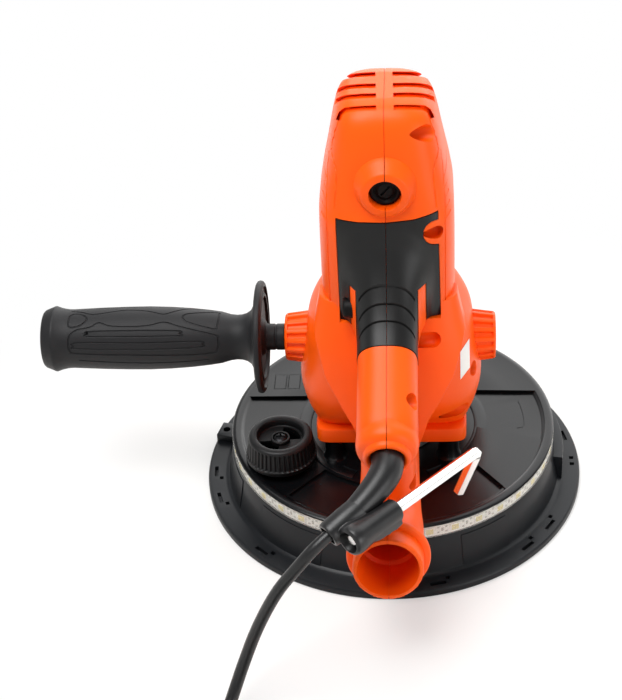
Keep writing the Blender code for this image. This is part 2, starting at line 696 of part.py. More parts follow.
def make_motor():
    """Stator, field coils, brush gear."""
    outer, inner = circle(32.0, 24), []
    for step in range(24):
        angle = 2 * math.pi * step / 24
        inner.append((26.2, angle) if abs(math.cos(angle)) > 0.7 else (19.6, angle))
    window = [(radius * math.cos(angle), radius * math.sin(angle)) for radius, angle in inner]
    finish(plate("stack", (outer, window), 138.0, 184.0), "stator_core", "steel")
    for side, word in ((-1, "left"), (1, "right")):
        middle = 0.0 if side > 0 else math.pi
        points = []
        for step in range(9):
            angle = middle - 0.52 + 1.04 * step / 8
            points.append((25.4 * math.cos(angle), 25.4 * math.sin(angle)))
        for step in range(9):
            angle = middle + 0.52 - 1.04 * step / 8
            points.append((19.8 * math.cos(angle), 19.8 * math.sin(angle)))
        finish(plate("coil", (points,), 131.0, 191.0), "field_coil_" + word, "copper")
    for side, word in ((-1, "rear"), (1, "front")):
        near, far = sorted((side * 15.0, side * 34.0))
        holder = box("holder", (-5.0, near, BRUSH_Z - 6.0), (5.0, far, BRUSH_Z + 6.0))
        low, high = sorted((side * 10.0, side * 40.0))
        combine(holder, box("channel", (-3.5, low, BRUSH_Z - 4.5), (3.5, high, BRUSH_Z + 4.5)))
        finish(holder, "brush_holder_" + word, "brass")
        low, high = sorted((side * 12.4, side * 27.0))
        brush = box("brush", (-3.1, low, BRUSH_Z - 4.1), (3.1, high, BRUSH_Z + 4.1))
        finish(brush, "carbon_brush_" + word, "carbon")
        turn = Vector((0.0, side, 0.0)).to_track_quat("Z", "Y").to_matrix().to_4x4()
        place = Matrix.Translation(Vector((0.0, side * 34.4, BRUSH_Z)) * MM) @ turn
        cap = turned("cap", ((0.0, 6.6), (7.4, 6.6), (8.2, 5.8), (8.2, 0.0), (0.0, 0.0)), 16, place=place)
        low, high = sorted((side * 39.6, side * 46.0))
        combine(cap, box("slot", (-6.2, low, BRUSH_Z - 0.9), (6.2, high, BRUSH_Z + 0.9)))
        finish(cap, "brush_cap_" + word, "black")


def quadrant(radius, inner, start):
    """Outline of a quarter opening."""
    points = []
    for step in range(6):
        angle = start + math.radians(80.0) * step / 5
        points.append((KNOB_X + radius * math.cos(angle), KNOB_Y + radius * math.sin(angle)))
    for step in range(3):
        angle = start + math.radians(80.0) * (2 - step) / 2
        points.append((KNOB_X + inner * math.cos(angle), KNOB_Y + inner * math.sin(angle)))
    return points


def make_shroud(knob_home):
    """Drum, skirt, seal, light strip and suction knob."""
    profile = ((10.5, DRUM_TOP), (86.0, DRUM_TOP), (88.0, DRUM_LIP_TOP),
               (DRUM_LIP_RADIUS, DRUM_LIP_TOP - 0.6), (DRUM_LIP_RADIUS, 35.4), (DRUM_WALL_RADIUS, 35.4),
               (DRUM_WALL_RADIUS, 26.6), (92.9, 26.6), (92.9, 13.0), (91.4, 13.0), (91.4, 33.0), (10.5, 33.0))
    drum = turned("drum", profile, 36, closed=True)
    for x in (-33.0, 33.0):
        for y in (-29.0, 29.0):
            combine(drum, rod("post", (x, y, 34.5), (x, y, 45.2), 6.0, 8), "UNION")
    combine(drum, rod("tower", (KNOB_X, KNOB_Y, 34.5), (KNOB_X, KNOB_Y, 47.6), 14.6, 16), "UNION")
    combine(drum, rod("tower_space", (KNOB_X, KNOB_Y, 30.0), (KNOB_X, KNOB_Y, 45.2), 12.6, 16))
    for turn in (0.0, math.pi):
        combine(drum, plate("window", (quadrant(11.6, 4.4, turn + math.radians(5.0)),), 43.0, 50.0))
    combine(drum, rod("screw_hole", (KNOB_X, KNOB_Y, 40.0), (KNOB_X, KNOB_Y, 52.0), 2.5, 8))
    combine(drum, box("duct_mouth", (-12.0, -82.0, 30.0), (12.0, -56.0, 40.0)))
    finish(drum, "shroud_drum", "black")
    knob = ((2.5, KNOB_FLOOR + 2.6), (13.2, KNOB_FLOOR + 2.6), (13.6, KNOB_TOP), (17.8, KNOB_TOP),
            (18.8, KNOB_TOP - 1.2), (KNOB_RADIUS, KNOB_LOW + 3.0), (KNOB_RADIUS, KNOB_LOW),
            (16.0, KNOB_LOW), (16.0, KNOB_FLOOR), (2.5, KNOB_FLOOR))
    shift = Matrix.Translation((KNOB_X * MM, KNOB_Y * MM, 0.0))
    dial = turned("dial", knob, 18, closed=True, place=shift)
    for turn in (0.0, math.pi):
        combine(dial, plate("window", (quadrant(11.8, 4.6, turn + math.radians(5.0)),), 46.0, 56.0))
    finish(dial, "suction_knob", "black", knob_home)
    profile = ((0.0, 53.4), (3.2, 53.4), (4.0, 52.4), (4.0, KNOB_FLOOR + 2.9), (2.1, KNOB_FLOOR + 2.9),
               (2.1, 41.0), (0.0, 41.0))
    screw = turned("screw", profile, 10, place=shift)
    finish(screw, "knob_screw", "steel")
    profile = ((93.3, SKIRT_TOP), (96.4, SKIRT_TOP), (99.6, 5.0), (111.4, 5.0), (SKIRT_RADIUS, 3.9),
               (SKIRT_RADIUS, 0.6), (110.8, 0.6), (110.8, 2.2), (97.0, 2.2), (93.3, 24.0))
    skirt = turned("skirt", profile, 36, closed=True)
    for index in range(FLANGE_SLOTS):
        turn = Matrix.Rotation(2 * math.pi * (index + 0.5) / FLANGE_SLOTS, 4, "Z")
        combine(skirt, box("slot", (104.4, -4.5, 1.0), (107.2, 4.5, 7.0), turn))
    turn = Matrix.Rotation(math.radians(165.4), 4, "Z")
    combine(skirt, box("tab", (98.6, -6.0, 3.0), (112.0, 6.0, 9.6), turn), "UNION")
    place = turn @ Matrix.Translation(Vector((107.5, 0.0, 0.0)) * MM)
    combine(skirt, turned("tab_hole", ((0.0, 12.0), (2.2, 12.0), (2.2, 4.4), (0.0, 4.4)), 12, place=place))
    finish(skirt, "shroud_skirt", "black")
    seal = ((101.0, 1.9), (109.6, 1.9), (109.6, 0.0), (101.0, 0.0))
    finish(turned("seal", seal, 28, closed=True), "seal_ring", "foam")
    back = DRUM_WALL_RADIUS + GAP + 0.1
    strip = ((back, LIGHT_HIGH), (LIGHT_RADIUS, LIGHT_HIGH), (LIGHT_RADIUS, LIGHT_LOW), (back, LIGHT_LOW))
    finish(turned("strip", strip, 36, closed=True), "light_strip", "light")


def make_side_handle():
    """Grip with its guard disc, the stud and both threaded inserts."""
    turn = Vector((-1.0, 0.0, 0.0)).to_track_quat("Z", "Y").to_matrix().to_4x4()
    place = Matrix.Translation(Vector((0.0, 0.0, SIDE_Z)) * MM) @ turn
    grip = ((0.0, 199.0), (14.0, 199.0), (17.6, 195.5), (18.0, 189.0), (15.9, 182.0), (17.2, 162.0),
            (17.6, 138.0), (15.4, 108.0), (12.4, 94.0), (12.4, 86.0), (14.6, 78.2), (31.4, 76.0),
            (32.5, 74.2), (31.4, 72.0), (7.6, 70.0), (7.6, 60.6), (0.0, 60.6))
    piece = turned("grip", grip, 18, place=place)
    combine(piece, rod("stud_hole", (-50.0, 0.0, SIDE_Z), (-92.0, 0.0, SIDE_Z), 4.3, 12))
    finish(piece, "side_handle_grip", "black")
    finish(rod("stud", (-47.0, 0.0, SIDE_Z), (-91.5, 0.0, SIDE_Z), 3.9, 12), "side_handle_stud", "steel")
    for side, word in ((-1, "left"), (1, "right")):
        turn = Vector((side, 0.0, 0.0)).to_track_quat("Z", "Y").to_matrix().to_4x4()
        place = Matrix.Translation(Vector((0.0, 0.0, SIDE_Z)) * MM) @ turn
        bush = ((4.4, 58.0), (6.5, 58.0), (6.5, 46.0), (4.4, 46.0))
        finish(turned("bush", bush, 12, closed=True, place=place), "handle_insert_" + word, "brass")


def make_switch(trigger_home, button_home):
    """Trigger, switch and lock-on button."""
    place = trigger_place()
    outline = ((-12.8, -8.0), (12.8, -8.0), (13.0, 4.0), (11.5, 7.4), (6.0, 8.6), (-4.0, 7.6),
               (-10.5, 8.8), (-13.0, 6.0))
    finish(plate("trigger", (outline,), -6.2, 6.2, place @ ACROSS), "trigger", "black", trigger_home)
    block = box("block", (-7.5, -15.0, -27.0), (7.5, 5.0, -14.5), place)
    finish(block, "power_switch", "black")
    button = turned("button", ((0.0, 21.6), (4.6, 21.6), (6.0, 20.4), (6.0, 10.0), (0.0, 10.0)), 16,
                    place=Matrix.Translation(Vector((0.0, -57.0, 160.0)) * MM)
                    @ Vector((-1.0, 0.0, 0.0)).to_track_quat("Z", "Y").to_matrix().to_4x4())
    finish(button, "lock_button", "black", button_home)


def smooth(route, step):
    """Points at an even distance along a curve through a route."""
    route = [Vector(point) for point in route]
    ends = [route[0] * 2 - route[1]] + route + [route[-1] * 2 - route[-2]]
    fine = []
    for index in range(1, len(ends) - 2):
        a, b, c, d = ends[index - 1:index + 3]
        for part in range(24):
            t = part / 24
            fine.append(0.5 * (2 * b + (c - a) * t + (2 * a - 5 * b + 4 * c - d) * t * t
                               + (3 * b - a - 3 * c + d) * t * t * t))
    fine.append(route[-1])
    lengths = [0.0]
    for first, second in zip(fine, fine[1:]):
        lengths.append(lengths[-1] + (second - first).length)
    count = max(2, round(lengths[-1] / step))
    points, place = [], 0
    for index in range(count + 1):
        want = lengths[-1] * index / count
        while place < len(fine) - 2 and lengths[place + 1] < want:
            place += 1
        part = (want - lengths[place]) / max(0.000001, lengths[place + 1] - lengths[place])
        points.append(fine[place].lerp(fine[place + 1], part))
    return points


def around_coil(radius, angle, height):
    """A point around the coil's upright axis."""
    return Vector((COIL_X + radius * math.cos(angle), COIL_Y + radius * math.sin(angle), height))


def coil_points():
    """Loops that spiral in and out at a steady rate and climb a layer at each turn back."""
    points = []
    span = COIL_TURNS * 2 * math.pi
    total = COIL_LAYERS * span
    count = round(COIL_LAYERS * COIL_TURNS * 24)
    reach = COIL_PITCH * COIL_TURNS / 2
    for index in range(count + 1):
        along = total * index / count
        layer = along / span
        part = layer % 2.0
        radius = COIL_RADIUS + reach - (part if part <= 1.0 else 2.0 - part) * 2 * reach
        near = round(layer)
        offset = along - near * span
        base = max(0, min(COIL_LAYERS - 1, math.floor(layer)))
        height = base * COIL_RISE
        if 0 < near < COIL_LAYERS and abs(offset) < math.pi / 2:
            rise = (offset + math.pi / 2) / math.pi
            height = (near - 1 + rise * rise * (3 - 2 * rise)) * COIL_RISE
        angle = math.radians(271.2) + along * (1.0 - math.radians(2.2) / total)
        points.append(around_coil(radius, angle, COIL_LOW + height))
    return points


def run_of(points):
    """Length along a row of points."""
    return sum((after - before).length for before, after in zip(points, points[1:]))


def least_gap(points, skip):
    """Least distance between stretches of one tube that aren't neighbours."""
    least = 1000.0
    for first in range(len(points)):
        for second in range(first + skip, len(points)):
            least = min(least, (points[first] - points[second]).length)
    return least


def make_cord():
    """Strain relief, key holder, hex key, cord, coil, tie and plug."""
    sleeve = smooth(SLEEVE_ROUTE, 5.0)
    count = len(sleeve) - 1
    radii = [8.2 - 3.0 * max(0.0, (index / count - 0.28) / 0.72) for index in range(count + 1)]
    finish(tube("sleeve", sleeve, 8.0, 3, radii), "strain_relief", "rubber")
    tangent = (sleeve[-1] - sleeve[-3]).normalized()
    key_line = (KEY_B - KEY_A).normalized()
    holder = rod("holder", KEY_A + key_line * 4.0, KEY_A + key_line * 46.0, 6.0, 14)
    clip = rod("clip", sleeve[-1] - tangent * 18.0, sleeve[-1] - tangent * 3.0, 8.6, 14)
    combine(holder, clip, "UNION")
    combine(holder, rod("cord_way", sleeve[-1] - tangent * 26.0, sleeve[-1] + tangent * 8.0, 6.9, 14))
    combine(holder, rod("key_way", KEY_A - key_line * 8.0, KEY_A + key_line * 60.0, KEY_RADIUS + 0.6, 10))
    finish(holder, "key_holder", "rubber")
    down = Vector((0.0, 0.0, -1.0))
    corner = KEY_B - key_line * 7.0
    bend = []
    for step in range(7):
        angle = math.pi / 2 * step / 6
        bend.append(corner + key_line * 7.0 * math.sin(angle) + down * 7.0 * (1 - math.cos(angle)))
    route = [KEY_A] + [KEY_A.lerp(corner, 0.5)] + bend + [KEY_B + down * KEY_SHORT]
    finish(tube("key", route, KEY_RADIUS, 1), "hex_key", "steel")
    arc = []
    for step in range(1, 10):
        angle = math.radians(180.0 + 10.0 * step)
        radius = COIL_OUTER + 1.8 * (9 - step) / 9
        arc.append(around_coil(radius, angle, CORD_ROUTE[-1][2] + 1.5 * step / 9))
    lead = smooth(list(CORD_ROUTE) + arc, 13.0)
    finish(tube("lead", lead, CORD_RADIUS, 2), "mains_cord", "rubber")
    coil = coil_points()
    print("least gap in the coil, mm: %.2f" % (least_gap(coil, 14) - 2 * CORD_RADIUS))
    finish(tube("coil", coil, CORD_RADIUS, 1), "cord_coil", "rubber")
    tail = smooth(TAIL_ROUTE, 6.0)
    finish(tube("tail", tail, CORD_RADIUS, 2), "cord_tail", "rubber")
    print("cord length, mm: %.0f" % (run_of(lead) + run_of(coil) + run_of(tail)))
    inner = ((24.4, 1.5), (47.4, 1.5), (47.4, 29.4), (24.4, 29.4))
    outer = ((23.2, 0.3), (48.6, 0.3), (48.6, 30.6), (23.2, 30.6))
    stand = Matrix.Translation((COIL_X * MM, COIL_Y * MM, 0.0)) @ STANDING
    finish(plate("tie", (outer, inner), -6.0, 6.0, stand), "cord_tie", "rubber")
    start = Vector((14.3, -320.0, 12.0))
    turn = Vector((1.0, 0.0, 0.0)).to_track_quat("Z", "Y").to_matrix().to_4x4()
    profile = ((0.0, 62.0), (9.0, 62.0), (11.6, 59.0), (11.6, 40.0), (8.0, 30.0), (5.2, 24.0), (4.6, 0.0),
               (0.0, 0.0))
    body = turned("plug", profile, 12, place=Matrix.Translation(start * MM) @ turn)
    for offset in (-9.5, 9.5):
        pin = start + Vector((58.0, offset * 0.8, 0.0))
        combine(body, rod("pin", pin, pin + Vector((23.0, 0.0, 0.0)), 2.2, 8), "UNION")
    finish(body, "mains_plug", "black")


def main():
    """Build every piece."""
    make_housing()
    spindle_home = joint_home("spindle_axis", (0.0, 0.0, 40.0))
    counter_home = joint_home("countershaft_axis", (COUNTER_X, 0.0, 72.0))
    armature_home = joint_home("armature_axis", (0.0, 0.0, 150.0))
    make_drive(spindle_home, counter_home, armature_home)
    make_pad(spindle_home)
    make_gear_case()
    make_motor()
    make_shroud(joint_home("suction_knob_axis", (KNOB_X, KNOB_Y, 48.0)))
    make_side_handle()
    trigger_home = joint_home("trigger_axis", (0.0, -75.0, 111.2))
    make_switch(trigger_home, joint_home("lock_button_axis", (-16.0, -57.0, 160.0)))
    make_cord()


main()
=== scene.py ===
"""Looks of a hand-held plaster sander with a lit dust shroud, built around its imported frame.

The frame's origin is the centre of the working face on the floor and +Z is up. The side handle
points along -X, and the loop handle, the dust port and the cord are at the rear, along -Y.
Sizes in the script are in millimetres and become metres when a shape is made.
"""

import math

import bpy
from mathutils import Matrix, Vector


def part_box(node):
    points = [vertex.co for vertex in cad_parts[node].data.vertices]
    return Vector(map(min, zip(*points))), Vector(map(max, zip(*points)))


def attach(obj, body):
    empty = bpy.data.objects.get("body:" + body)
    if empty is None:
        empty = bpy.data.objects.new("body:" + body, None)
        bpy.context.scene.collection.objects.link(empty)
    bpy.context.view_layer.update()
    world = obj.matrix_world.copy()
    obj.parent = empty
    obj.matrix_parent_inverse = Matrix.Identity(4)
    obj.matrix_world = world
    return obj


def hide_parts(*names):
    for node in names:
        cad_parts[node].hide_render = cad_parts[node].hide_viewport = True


bl_info = {
    "name": "Plaster sander",
    "version": (1, 0, 0),
    "blender": (4, 5, 0),
    "location": "3D View > Sidebar > Sander",
    "description": "Models the looks of a hand-held plaster sander around its packed frame",
    "category": "Object",
}

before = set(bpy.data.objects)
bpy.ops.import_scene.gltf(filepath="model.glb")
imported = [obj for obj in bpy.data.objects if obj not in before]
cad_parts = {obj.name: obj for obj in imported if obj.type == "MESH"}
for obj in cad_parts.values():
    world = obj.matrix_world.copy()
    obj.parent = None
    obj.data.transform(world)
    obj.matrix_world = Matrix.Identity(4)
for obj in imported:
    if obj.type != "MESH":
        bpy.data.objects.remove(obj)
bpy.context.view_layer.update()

MM = 0.001
# Points nearer than this are one, and the share of the way that each turn of smoothing goes
MERGE = 0.002
SMOOTHING = 0.5

# Bodies of the frame
SHELL_BODY, PAD_BODY, KNOB_BODY = "sander_body", "pad_spindle", "suction_dial"
TRIGGER_BODY, LOCK_BODY, KEY_BODY = "trigger_lever", "lock_pin", "key"

# Motor barrel, gear bell and base plate: height, half width, rear, front, squareness
BARREL = (
    (98.0, 34.0, -38.0, 38.0, 4.2), (128.0, 36.2, -41.0, 40.0, 4.4), (190.0, 36.2, -42.0, 41.0, 4.4),
    (206.0, 34.8, -39.6, 40.5, 4.4), (226.0, 30.8, -35.6, 38.0, 4.0), (244.0, 27.2, -31.4, 33.8, 3.8),
    (253.0, 24.2, -27.6, 29.0, 3.6), (258.0, 19.5, -22.0, 23.0, 3.0), (260.0, 12.0, -15.0, 15.0, 2.6),
)
BELL = (
    (54.0, 43.0, -27.0, 34.0, 8.0), (59.6, 43.6, -30.5, 37.0, 7.0), (66.0, 46.4, -36.0, 41.0, 5.0),
    (74.0, 49.8, -42.0, 45.5, 3.6), (86.0, 52.0, -47.5, 49.0, 2.8), (108.0, 48.0, -49.0, 49.5, 2.8),
    (119.0, 45.5, -47.5, 47.0, 3.0), (131.0, 37.0, -42.5, 41.0, 4.0), (136.0, 33.0, -38.0, 37.0, 4.0),
)
BASE = ((49.8, 42.2, -35.0, 36.2, 14.0), (50.5, 43.2, -36.0, 37.0, 14.0), (58.3, 43.2, -36.0, 37.0, 14.0),
        (59.2, 42.8, -35.6, 36.6, 14.0), (59.6, 41.8, -34.6, 35.6, 14.0))
# Raised apron below the handle's root, and the V that it narrows to in XZ
APRON = ((150.0, 38.0, -40.0, -10.0, 3.0), (136.0, 41.0, -46.0, -10.0, 2.8), (120.0, 46.0, -51.5, -10.0, 2.6),
         (104.0, 48.0, -55.0, -10.0, 2.6), (90.0, 46.0, -57.0, -10.0, 2.6), (74.0, 40.0, -57.5, -10.0, 2.6),
         (58.0, 36.0, -57.0, -10.0, 2.6))
APRON_OUTLINE = (
    (-37.0, 152.0), (-41.0, 132.0), (-35.5, 108.0), (-28.0, 93.0), (-21.6, 80.0), (-16.5, 66.0),
    (-14.5, 54.0), (14.5, 54.0), (16.5, 66.0), (21.6, 82.0), (28.0, 94.0), (35.5, 108.0), (42.0, 130.0),
    (37.0, 152.0),
)
# Line where the rear face meets the side strips, in XZ
PANEL_EDGE = ((23.0, 252.0), (25.6, 244.0), (27.4, 237.0), (27.6, 233.0), (25.6, 228.5), (25.0, 224.0),
              (25.6, 216.0), (26.6, 207.5))
# Strips beside the rear face: ends of the inner edge, its place, height above which it leans in, and how much
STRIP_LOW, STRIP_HIGH = 136, 232
STRIP_EDGE, STRIP_BEND, STRIP_LEAN = 31.0, 212.0, 0.09
# Ribs on the strips: heights, distance of their starts from the edge, and rise along them
STRIP_RIBS = (200, 205, 210, 215, 220)
STRIP_RIB_START, STRIP_RIB_RISE = 0.6, 0.5
# Rear handle: top line, underside, half width; and its squareness
HANDLE = (
    (-30.0, 205.0, -26.0, 122.0, 27.5), (-41.0, 201.0, -36.0, 124.0, 25.5),
    (-46.0, 189.0, -43.0, 124.0, 21.6), (-54.0, 176.5, -50.0, 122.5, 18.4),
    (-67.0, 161.5, -58.0, 119.0, 16.2), (-80.0, 151.6, -67.5, 114.5, 15.9),
    (-105.0, 138.5, -94.0, 104.5, 15.9), (-116.5, 132.4, -110.0, 98.5, 15.8),
    (-122.0, 126.6, -116.5, 100.0, 13.0),
)
HANDLE_POWER = 2.6
# Hollow blend between the panel and the handle: middle, reach, half width and the fade beside it
ROOT_Y, ROOT_REACH, ROOT_HALF, ROOT_FADE = -47.0, 16.0, 20.0, 10.0
# Its lowest and highest place, and its turns of smoothing
ROOT_LOW, ROOT_HIGH, ROOT_TURNS = 124.0, 212.0, 80
# Dust duct: place along the length, half width, underside, top, squareness
DUCT = (
    (-40.0, 15.6, 36.4, 70.0, 5.0), (-85.0, 16.2, 36.4, 74.0, 5.0), (-91.0, 16.4, 40.2, 75.0, 4.0),
    (-110.0, 17.2, 41.6, 77.4, 3.0), (-124.0, 18.3, 43.2, 79.8, 2.0), (-157.0, 18.3, 47.7, 84.3, 2.0),
)
# Column between the duct and the handle, in the barrel's terms
COLUMN = ((66.0, 14.0, -121.0, -92.0, 3.0), (84.0, 14.4, -118.5, -95.0, 3.0),
          (108.0, 14.0, -120.0, -93.0, 3.0))
# Dust port: tilt, middle of the mouth, direction out of it
PORT_TILT = math.radians(8.0)
PORT_MOUTH = Vector((0.0, -157.0, 66.0))
PORT_AXIS = Vector((0.0, -math.cos(PORT_TILT), math.sin(PORT_TILT)))
# Heights of the brush caps and of the side bosses, and where and how the cord comes out of the handle
BRUSH_Z, SIDE_Z = 218.5, 100.0
GLAND = Vector((0.0, -124.0, 114.5))
CORD_AXIS = Vector((0.0, -0.978, -0.208)).normalized()
# Housing screws: rear distance, height, seat of the head, outer end of the recess
SCREWS = ((-25.6, 245.5, 10.0, 90.0), (-36.8, 194.2, 17.0, 25.5), (-46.0, 130.4, 13.0, 24.0),
          (-25.6, 95.5, 36.0, 90.0), (-35.2, 72.8, 26.0, 90.0), (-102.5, 132.2, 6.0, 90.0),
          (-112.0, 86.5, 7.0, 90.0))
# Radius of the recesses; a recess that ends here is open to the side
RECESS, RECESS_OPEN = 4.5, 90.0
# Radii of the holes for the brush caps and the inserts, and of the walls around these and the screws
CAP_HOLE, INSERT_HOLE = 8.6, 6.9
CAP_WALL, INSERT_WALL, SCREW_WALL = 12.4, 9.8, 6.8
# Thickness of the shell and of the soft grip, depth of the seam in each, and gap between the halves of each
WALL, SKIN = 3.2, 1.6
SHELL_SEAM, GRIP_SEAM = 0.6, 0.7
SHELL_PART, GRIP_PART = 0.06, 0.2

# Soft grip: outline of the rear panel with its legs in XZ, and of the handle's tongue in YZ
PANEL = ((-26.0, 139.6), (-26.2, 203.0), (-14.0, 202.0), (0.0, 201.8), (14.0, 203.0), (27.4, 206.0),
         (28.6, 141.2), (20.4, 142.0), (20.4, 167.0), (-19.5, 167.0), (-19.5, 140.4))
TONGUE = ((-38.0, 182.0), (-48.5, 168.0), (-51.0, 150.0), (-55.5, 143.0), (-71.0, 131.0), (-80.5, 152.0),
          (-86.0, 166.5), (-70.0, 196.0), (-50.0, 200.0))
TONGUE_HALF = 16.5
# Grooves across the tongue: rear distance and height, half width, depth
GROOVES = ((-57.0, 173.0), (-63.2, 166.3), (-69.6, 159.6))
GROOVE_HALF, GROOVE_DEEP = 0.55, 0.7
# Air slots across the top: level and depth as the camera faces them
VENTS = ((216.5, 142.7), (208.8, 153.2), (202.4, 161.9), (195.0, 163.5))
# Depth of the grooves, width of the slits, and ends of both from the middle line
VENT_DEEP, VENT_SLIT = 2.2, 0.45
VENT_NEAR, VENT_FAR, VENT_SHORT = 4.4, 46.0, 18.0
# How far the tools for them reach in and out along the line of sight
VENT_IN, VENT_OUT = 18.0, 40.0
# Bare label on the right as the camera faces it, and its thickness
LABEL = ((38.1, 70.1), (43.7, 77.6), (43.8, 61.3), (38.2, 54.7))
LABEL_THICK = 0.25
# Lock button's axis, its hole's radius and the hole's outer end
LOCK_Y, LOCK_Z, LOCK_HOLE, LOCK_MOUTH = -46.8, 152.4, 5.7, -24.6

# Trigger's direction along the handle's underside, and its middle
TRIGGER_ALONG = Vector((0.0, -0.914, -0.403)).normalized()
TRIGGER_MIDDLE = Vector((0.0, -75.0, 111.2))

# Shroud: suction knob's axis and its openings' starts, outer rim, light strip and the angle of its
# first lamp, dust holes of the pad
KNOB_X, KNOB_Y = -64.0, -34.0
AT_KNOB = Matrix.Translation((KNOB_X * MM, KNOB_Y * MM, 0.0))
KNOB_STARTS = (5.0, 185.0)
RIM = 112.5
LAMP_LOW, LAMP_HIGH, LAMP_RADIUS, LAMP_FIRST = 29.0, 36.3, 94.6, 4.0
PAD_HOLES, PAD_HOLE, PAD_HOLE_RING = 6, 6.0, 62.0
# Countershaft's distance from the spindle
COUNTER_X = 24.0

# Strain relief: radius at the gland, how much thinner its end is, and share of its length before it narrows
SLEEVE_RADIUS, SLEEVE_TAPER, SLEEVE_EVEN = 8.3, 2.9, 0.28
# Strain relief and cord: points on their middle lines, and distance between the cord's points
SLEEVE_ROUTE = ((0.0, -118.1, 115.7), (0.0, -124.0, 114.5), (0.0, -131.8, 112.6), (-4.2, -141.0, 109.9),
                (-13.8, -153.0, 105.4), (-27.4, -165.0, 99.4))
CORD_ROUTE = ((-28.2, -165.7, 99.0), (-36.2, -171.2, 94.0), (-43.6, -174.2, 86.0), (-55.2, -176.3, 70.0),
              (-66.0, -178.6, 48.0), (-74.4, -184.0, 27.0), (-81.2, -195.0, 11.0), (-86.0, -210.0, 4.6),
              (-87.6, -228.0, 3.4), (-88.3, -250.0, 3.4))
CORD_STEP = 4.0
# Coil: middle and mean radius
COIL_X, COIL_Y, COIL_RADIUS = -42.0, -272.0, 35.75
# Its distance between turns and between layers, its layers, the turns in each and its lowest height
COIL_PITCH, COIL_RISE, COIL_LAYERS, COIL_TURNS, COIL_LOW = 7.1, 6.95, 4, 2.0, 4.9
COIL_OUTER = COIL_RADIUS + COIL_PITCH * COIL_TURNS / 2
# Points in each turn, the angle where the first starts, and how much short of whole turns the last ends
COIL_POINTS, COIL_START, COIL_SHORT = 48, math.radians(271.2), math.radians(2.2)
# Quarter turn that leads into the coil: its steps, how far out it starts, and how much it rises
LEAD_STEPS, LEAD_OUT, LEAD_RISE = 9, 1.8, 1.5
# Plug's start, and the way from the coil to it
PLUG_START = Vector((14.3, -320.0, 12.0))
TAIL_ROUTE = ((-41.6, -314.9, 25.75), (-24.0, -315.6, 24.2), (-8.0, -317.6, 17.5), (6.0, -319.5, 12.0),
              (14.0, -320.0, 12.0))
# Hex key: ends of the long arm, half width, short arm, bend, lean of the short arm
KEY_A, KEY_B = Vector((-16.9, -172.2, 101.0)), Vector((46.8, -104.6, 101.0))
KEY_LINE = (KEY_B - KEY_A).normalized()
KEY_RADIUS, KEY_SHORT, KEY_BEND, KEY_LEAN = 3.2, 38.0, 4.6, math.radians(20.0)

# Photograph's camera: distance in mm, lens in pixels, angles
VIEW_DISTANCE, VIEW_LENS = 1000.0, 1637.5
VIEW_RISE, VIEW_TURN, VIEW_ROLL = (math.radians(angle) for angle in (36.393, 1.677, 1.524))
# How far the frame's origin is from the camera's axis
VIEW_SHIFT_X, VIEW_SHIFT_Y = 1.704, -72.26
# Photograph's size and the camera's axis across it, in pixels
PICTURE_WIDE, PICTURE_HIGH, PICTURE_CENTRE = 622.0, 700.0, 388.0

# An outline drawn in YZ, extruded along X, and one drawn in XZ, extruded along -Y
ACROSS = Matrix(((0.0, 0.0, 1.0), (1.0, 0.0, 0.0), (0.0, 1.0, 0.0))).to_4x4()
STANDING = Matrix(((1.0, 0.0, 0.0), (0.0, 0.0, -1.0), (0.0, 1.0, 0.0))).to_4x4()
# An outline drawn as the camera sees it: X across the picture, Y up it, Z towards the camera
FACING = Matrix.Rotation(VIEW_TURN, 4, "Z") @ Matrix.Rotation(math.pi / 2 - VIEW_RISE, 4, "X")


def linear(code):
    """A colour's sRGB hex value as linear red, green, blue and alpha."""
    channels = [int(code[i:i + 2], 16) / 255 for i in (0, 2, 4)]
    return (*(c / 12.92 if c <= 0.04045 else ((c + 0.055) / 1.055) ** 2.4 for c in channels), 1.0)


def colour_property(name, description, code):
    """A colour that a user may change."""
    return bpy.props.FloatVectorProperty(name=name, description=description, default=linear(code),
                                         size=4, min=0.0, max=1.0, subtype="COLOR")


def length_property(name, description, size):
    """A length that a user may change, given in mm."""
    return bpy.props.FloatProperty(name=name, description=description, default=size * MM,
                                   min=0.0, precision=5, unit="LENGTH")


class SanderSizes(bpy.types.PropertyGroup):
    """Sizes and counts of the sander's details"""
    shell_grain: length_property("Shell grain", "Voxel that the moulded shell is drawn at", 0.8)
    seam_width: length_property("Seam width", "Width of the groove between the housing halves", 0.4)
    grip_gap: length_property("Grip gap", "Gap between the soft grip and its pocket", 0.4)
    vent_width: length_property("Vent width", "Width of each air slot at the top", 3.0)
    boss_flutes: bpy.props.IntProperty(name="Boss flutes", description="Flutes around each side boss",
                                       default=15, min=3)
    knob_ribs: bpy.props.IntProperty(name="Knob ribs", description="Ribs around the suction knob",
                                     default=44, min=8)
    lamp_count: bpy.props.IntProperty(name="Lamps", description="Lamps around the shroud",
                                      default=40, min=4)
    cord_diameter: length_property("Cord diameter", "Outside diameter of the mains cord", 6.5)


class SanderColours(bpy.types.PropertyGroup):
    """Colours of the sander's finishes"""
    shell: colour_property("Shell", "Orange of the housing", "FF5904")
    grip: colour_property("Grip", "Charcoal of the soft grip", "121212")
    nylon: colour_property("Nylon", "Black of the side handle", "161618")
    drum: colour_property("Drum", "Black of the shroud's drum", "090A0C")
    skirt: colour_property("Skirt", "Charcoal of the shroud's skirt", "181A1D")
    cord: colour_property("Cord", "Black of the cord's jacket", "131314")
    tape: colour_property("Tape", "White of the lamp tape", "F0EEE6")
    lamp: colour_property("Lamp", "Yellow of the lamps' phosphor", "DCCB78")
    grit: colour_property("Grit", "Brown of the sanding disc", "8A5A34")
    floor: colour_property("Floor", "Pale floor of the stage", "EFEDEA")


# Modelling by hand

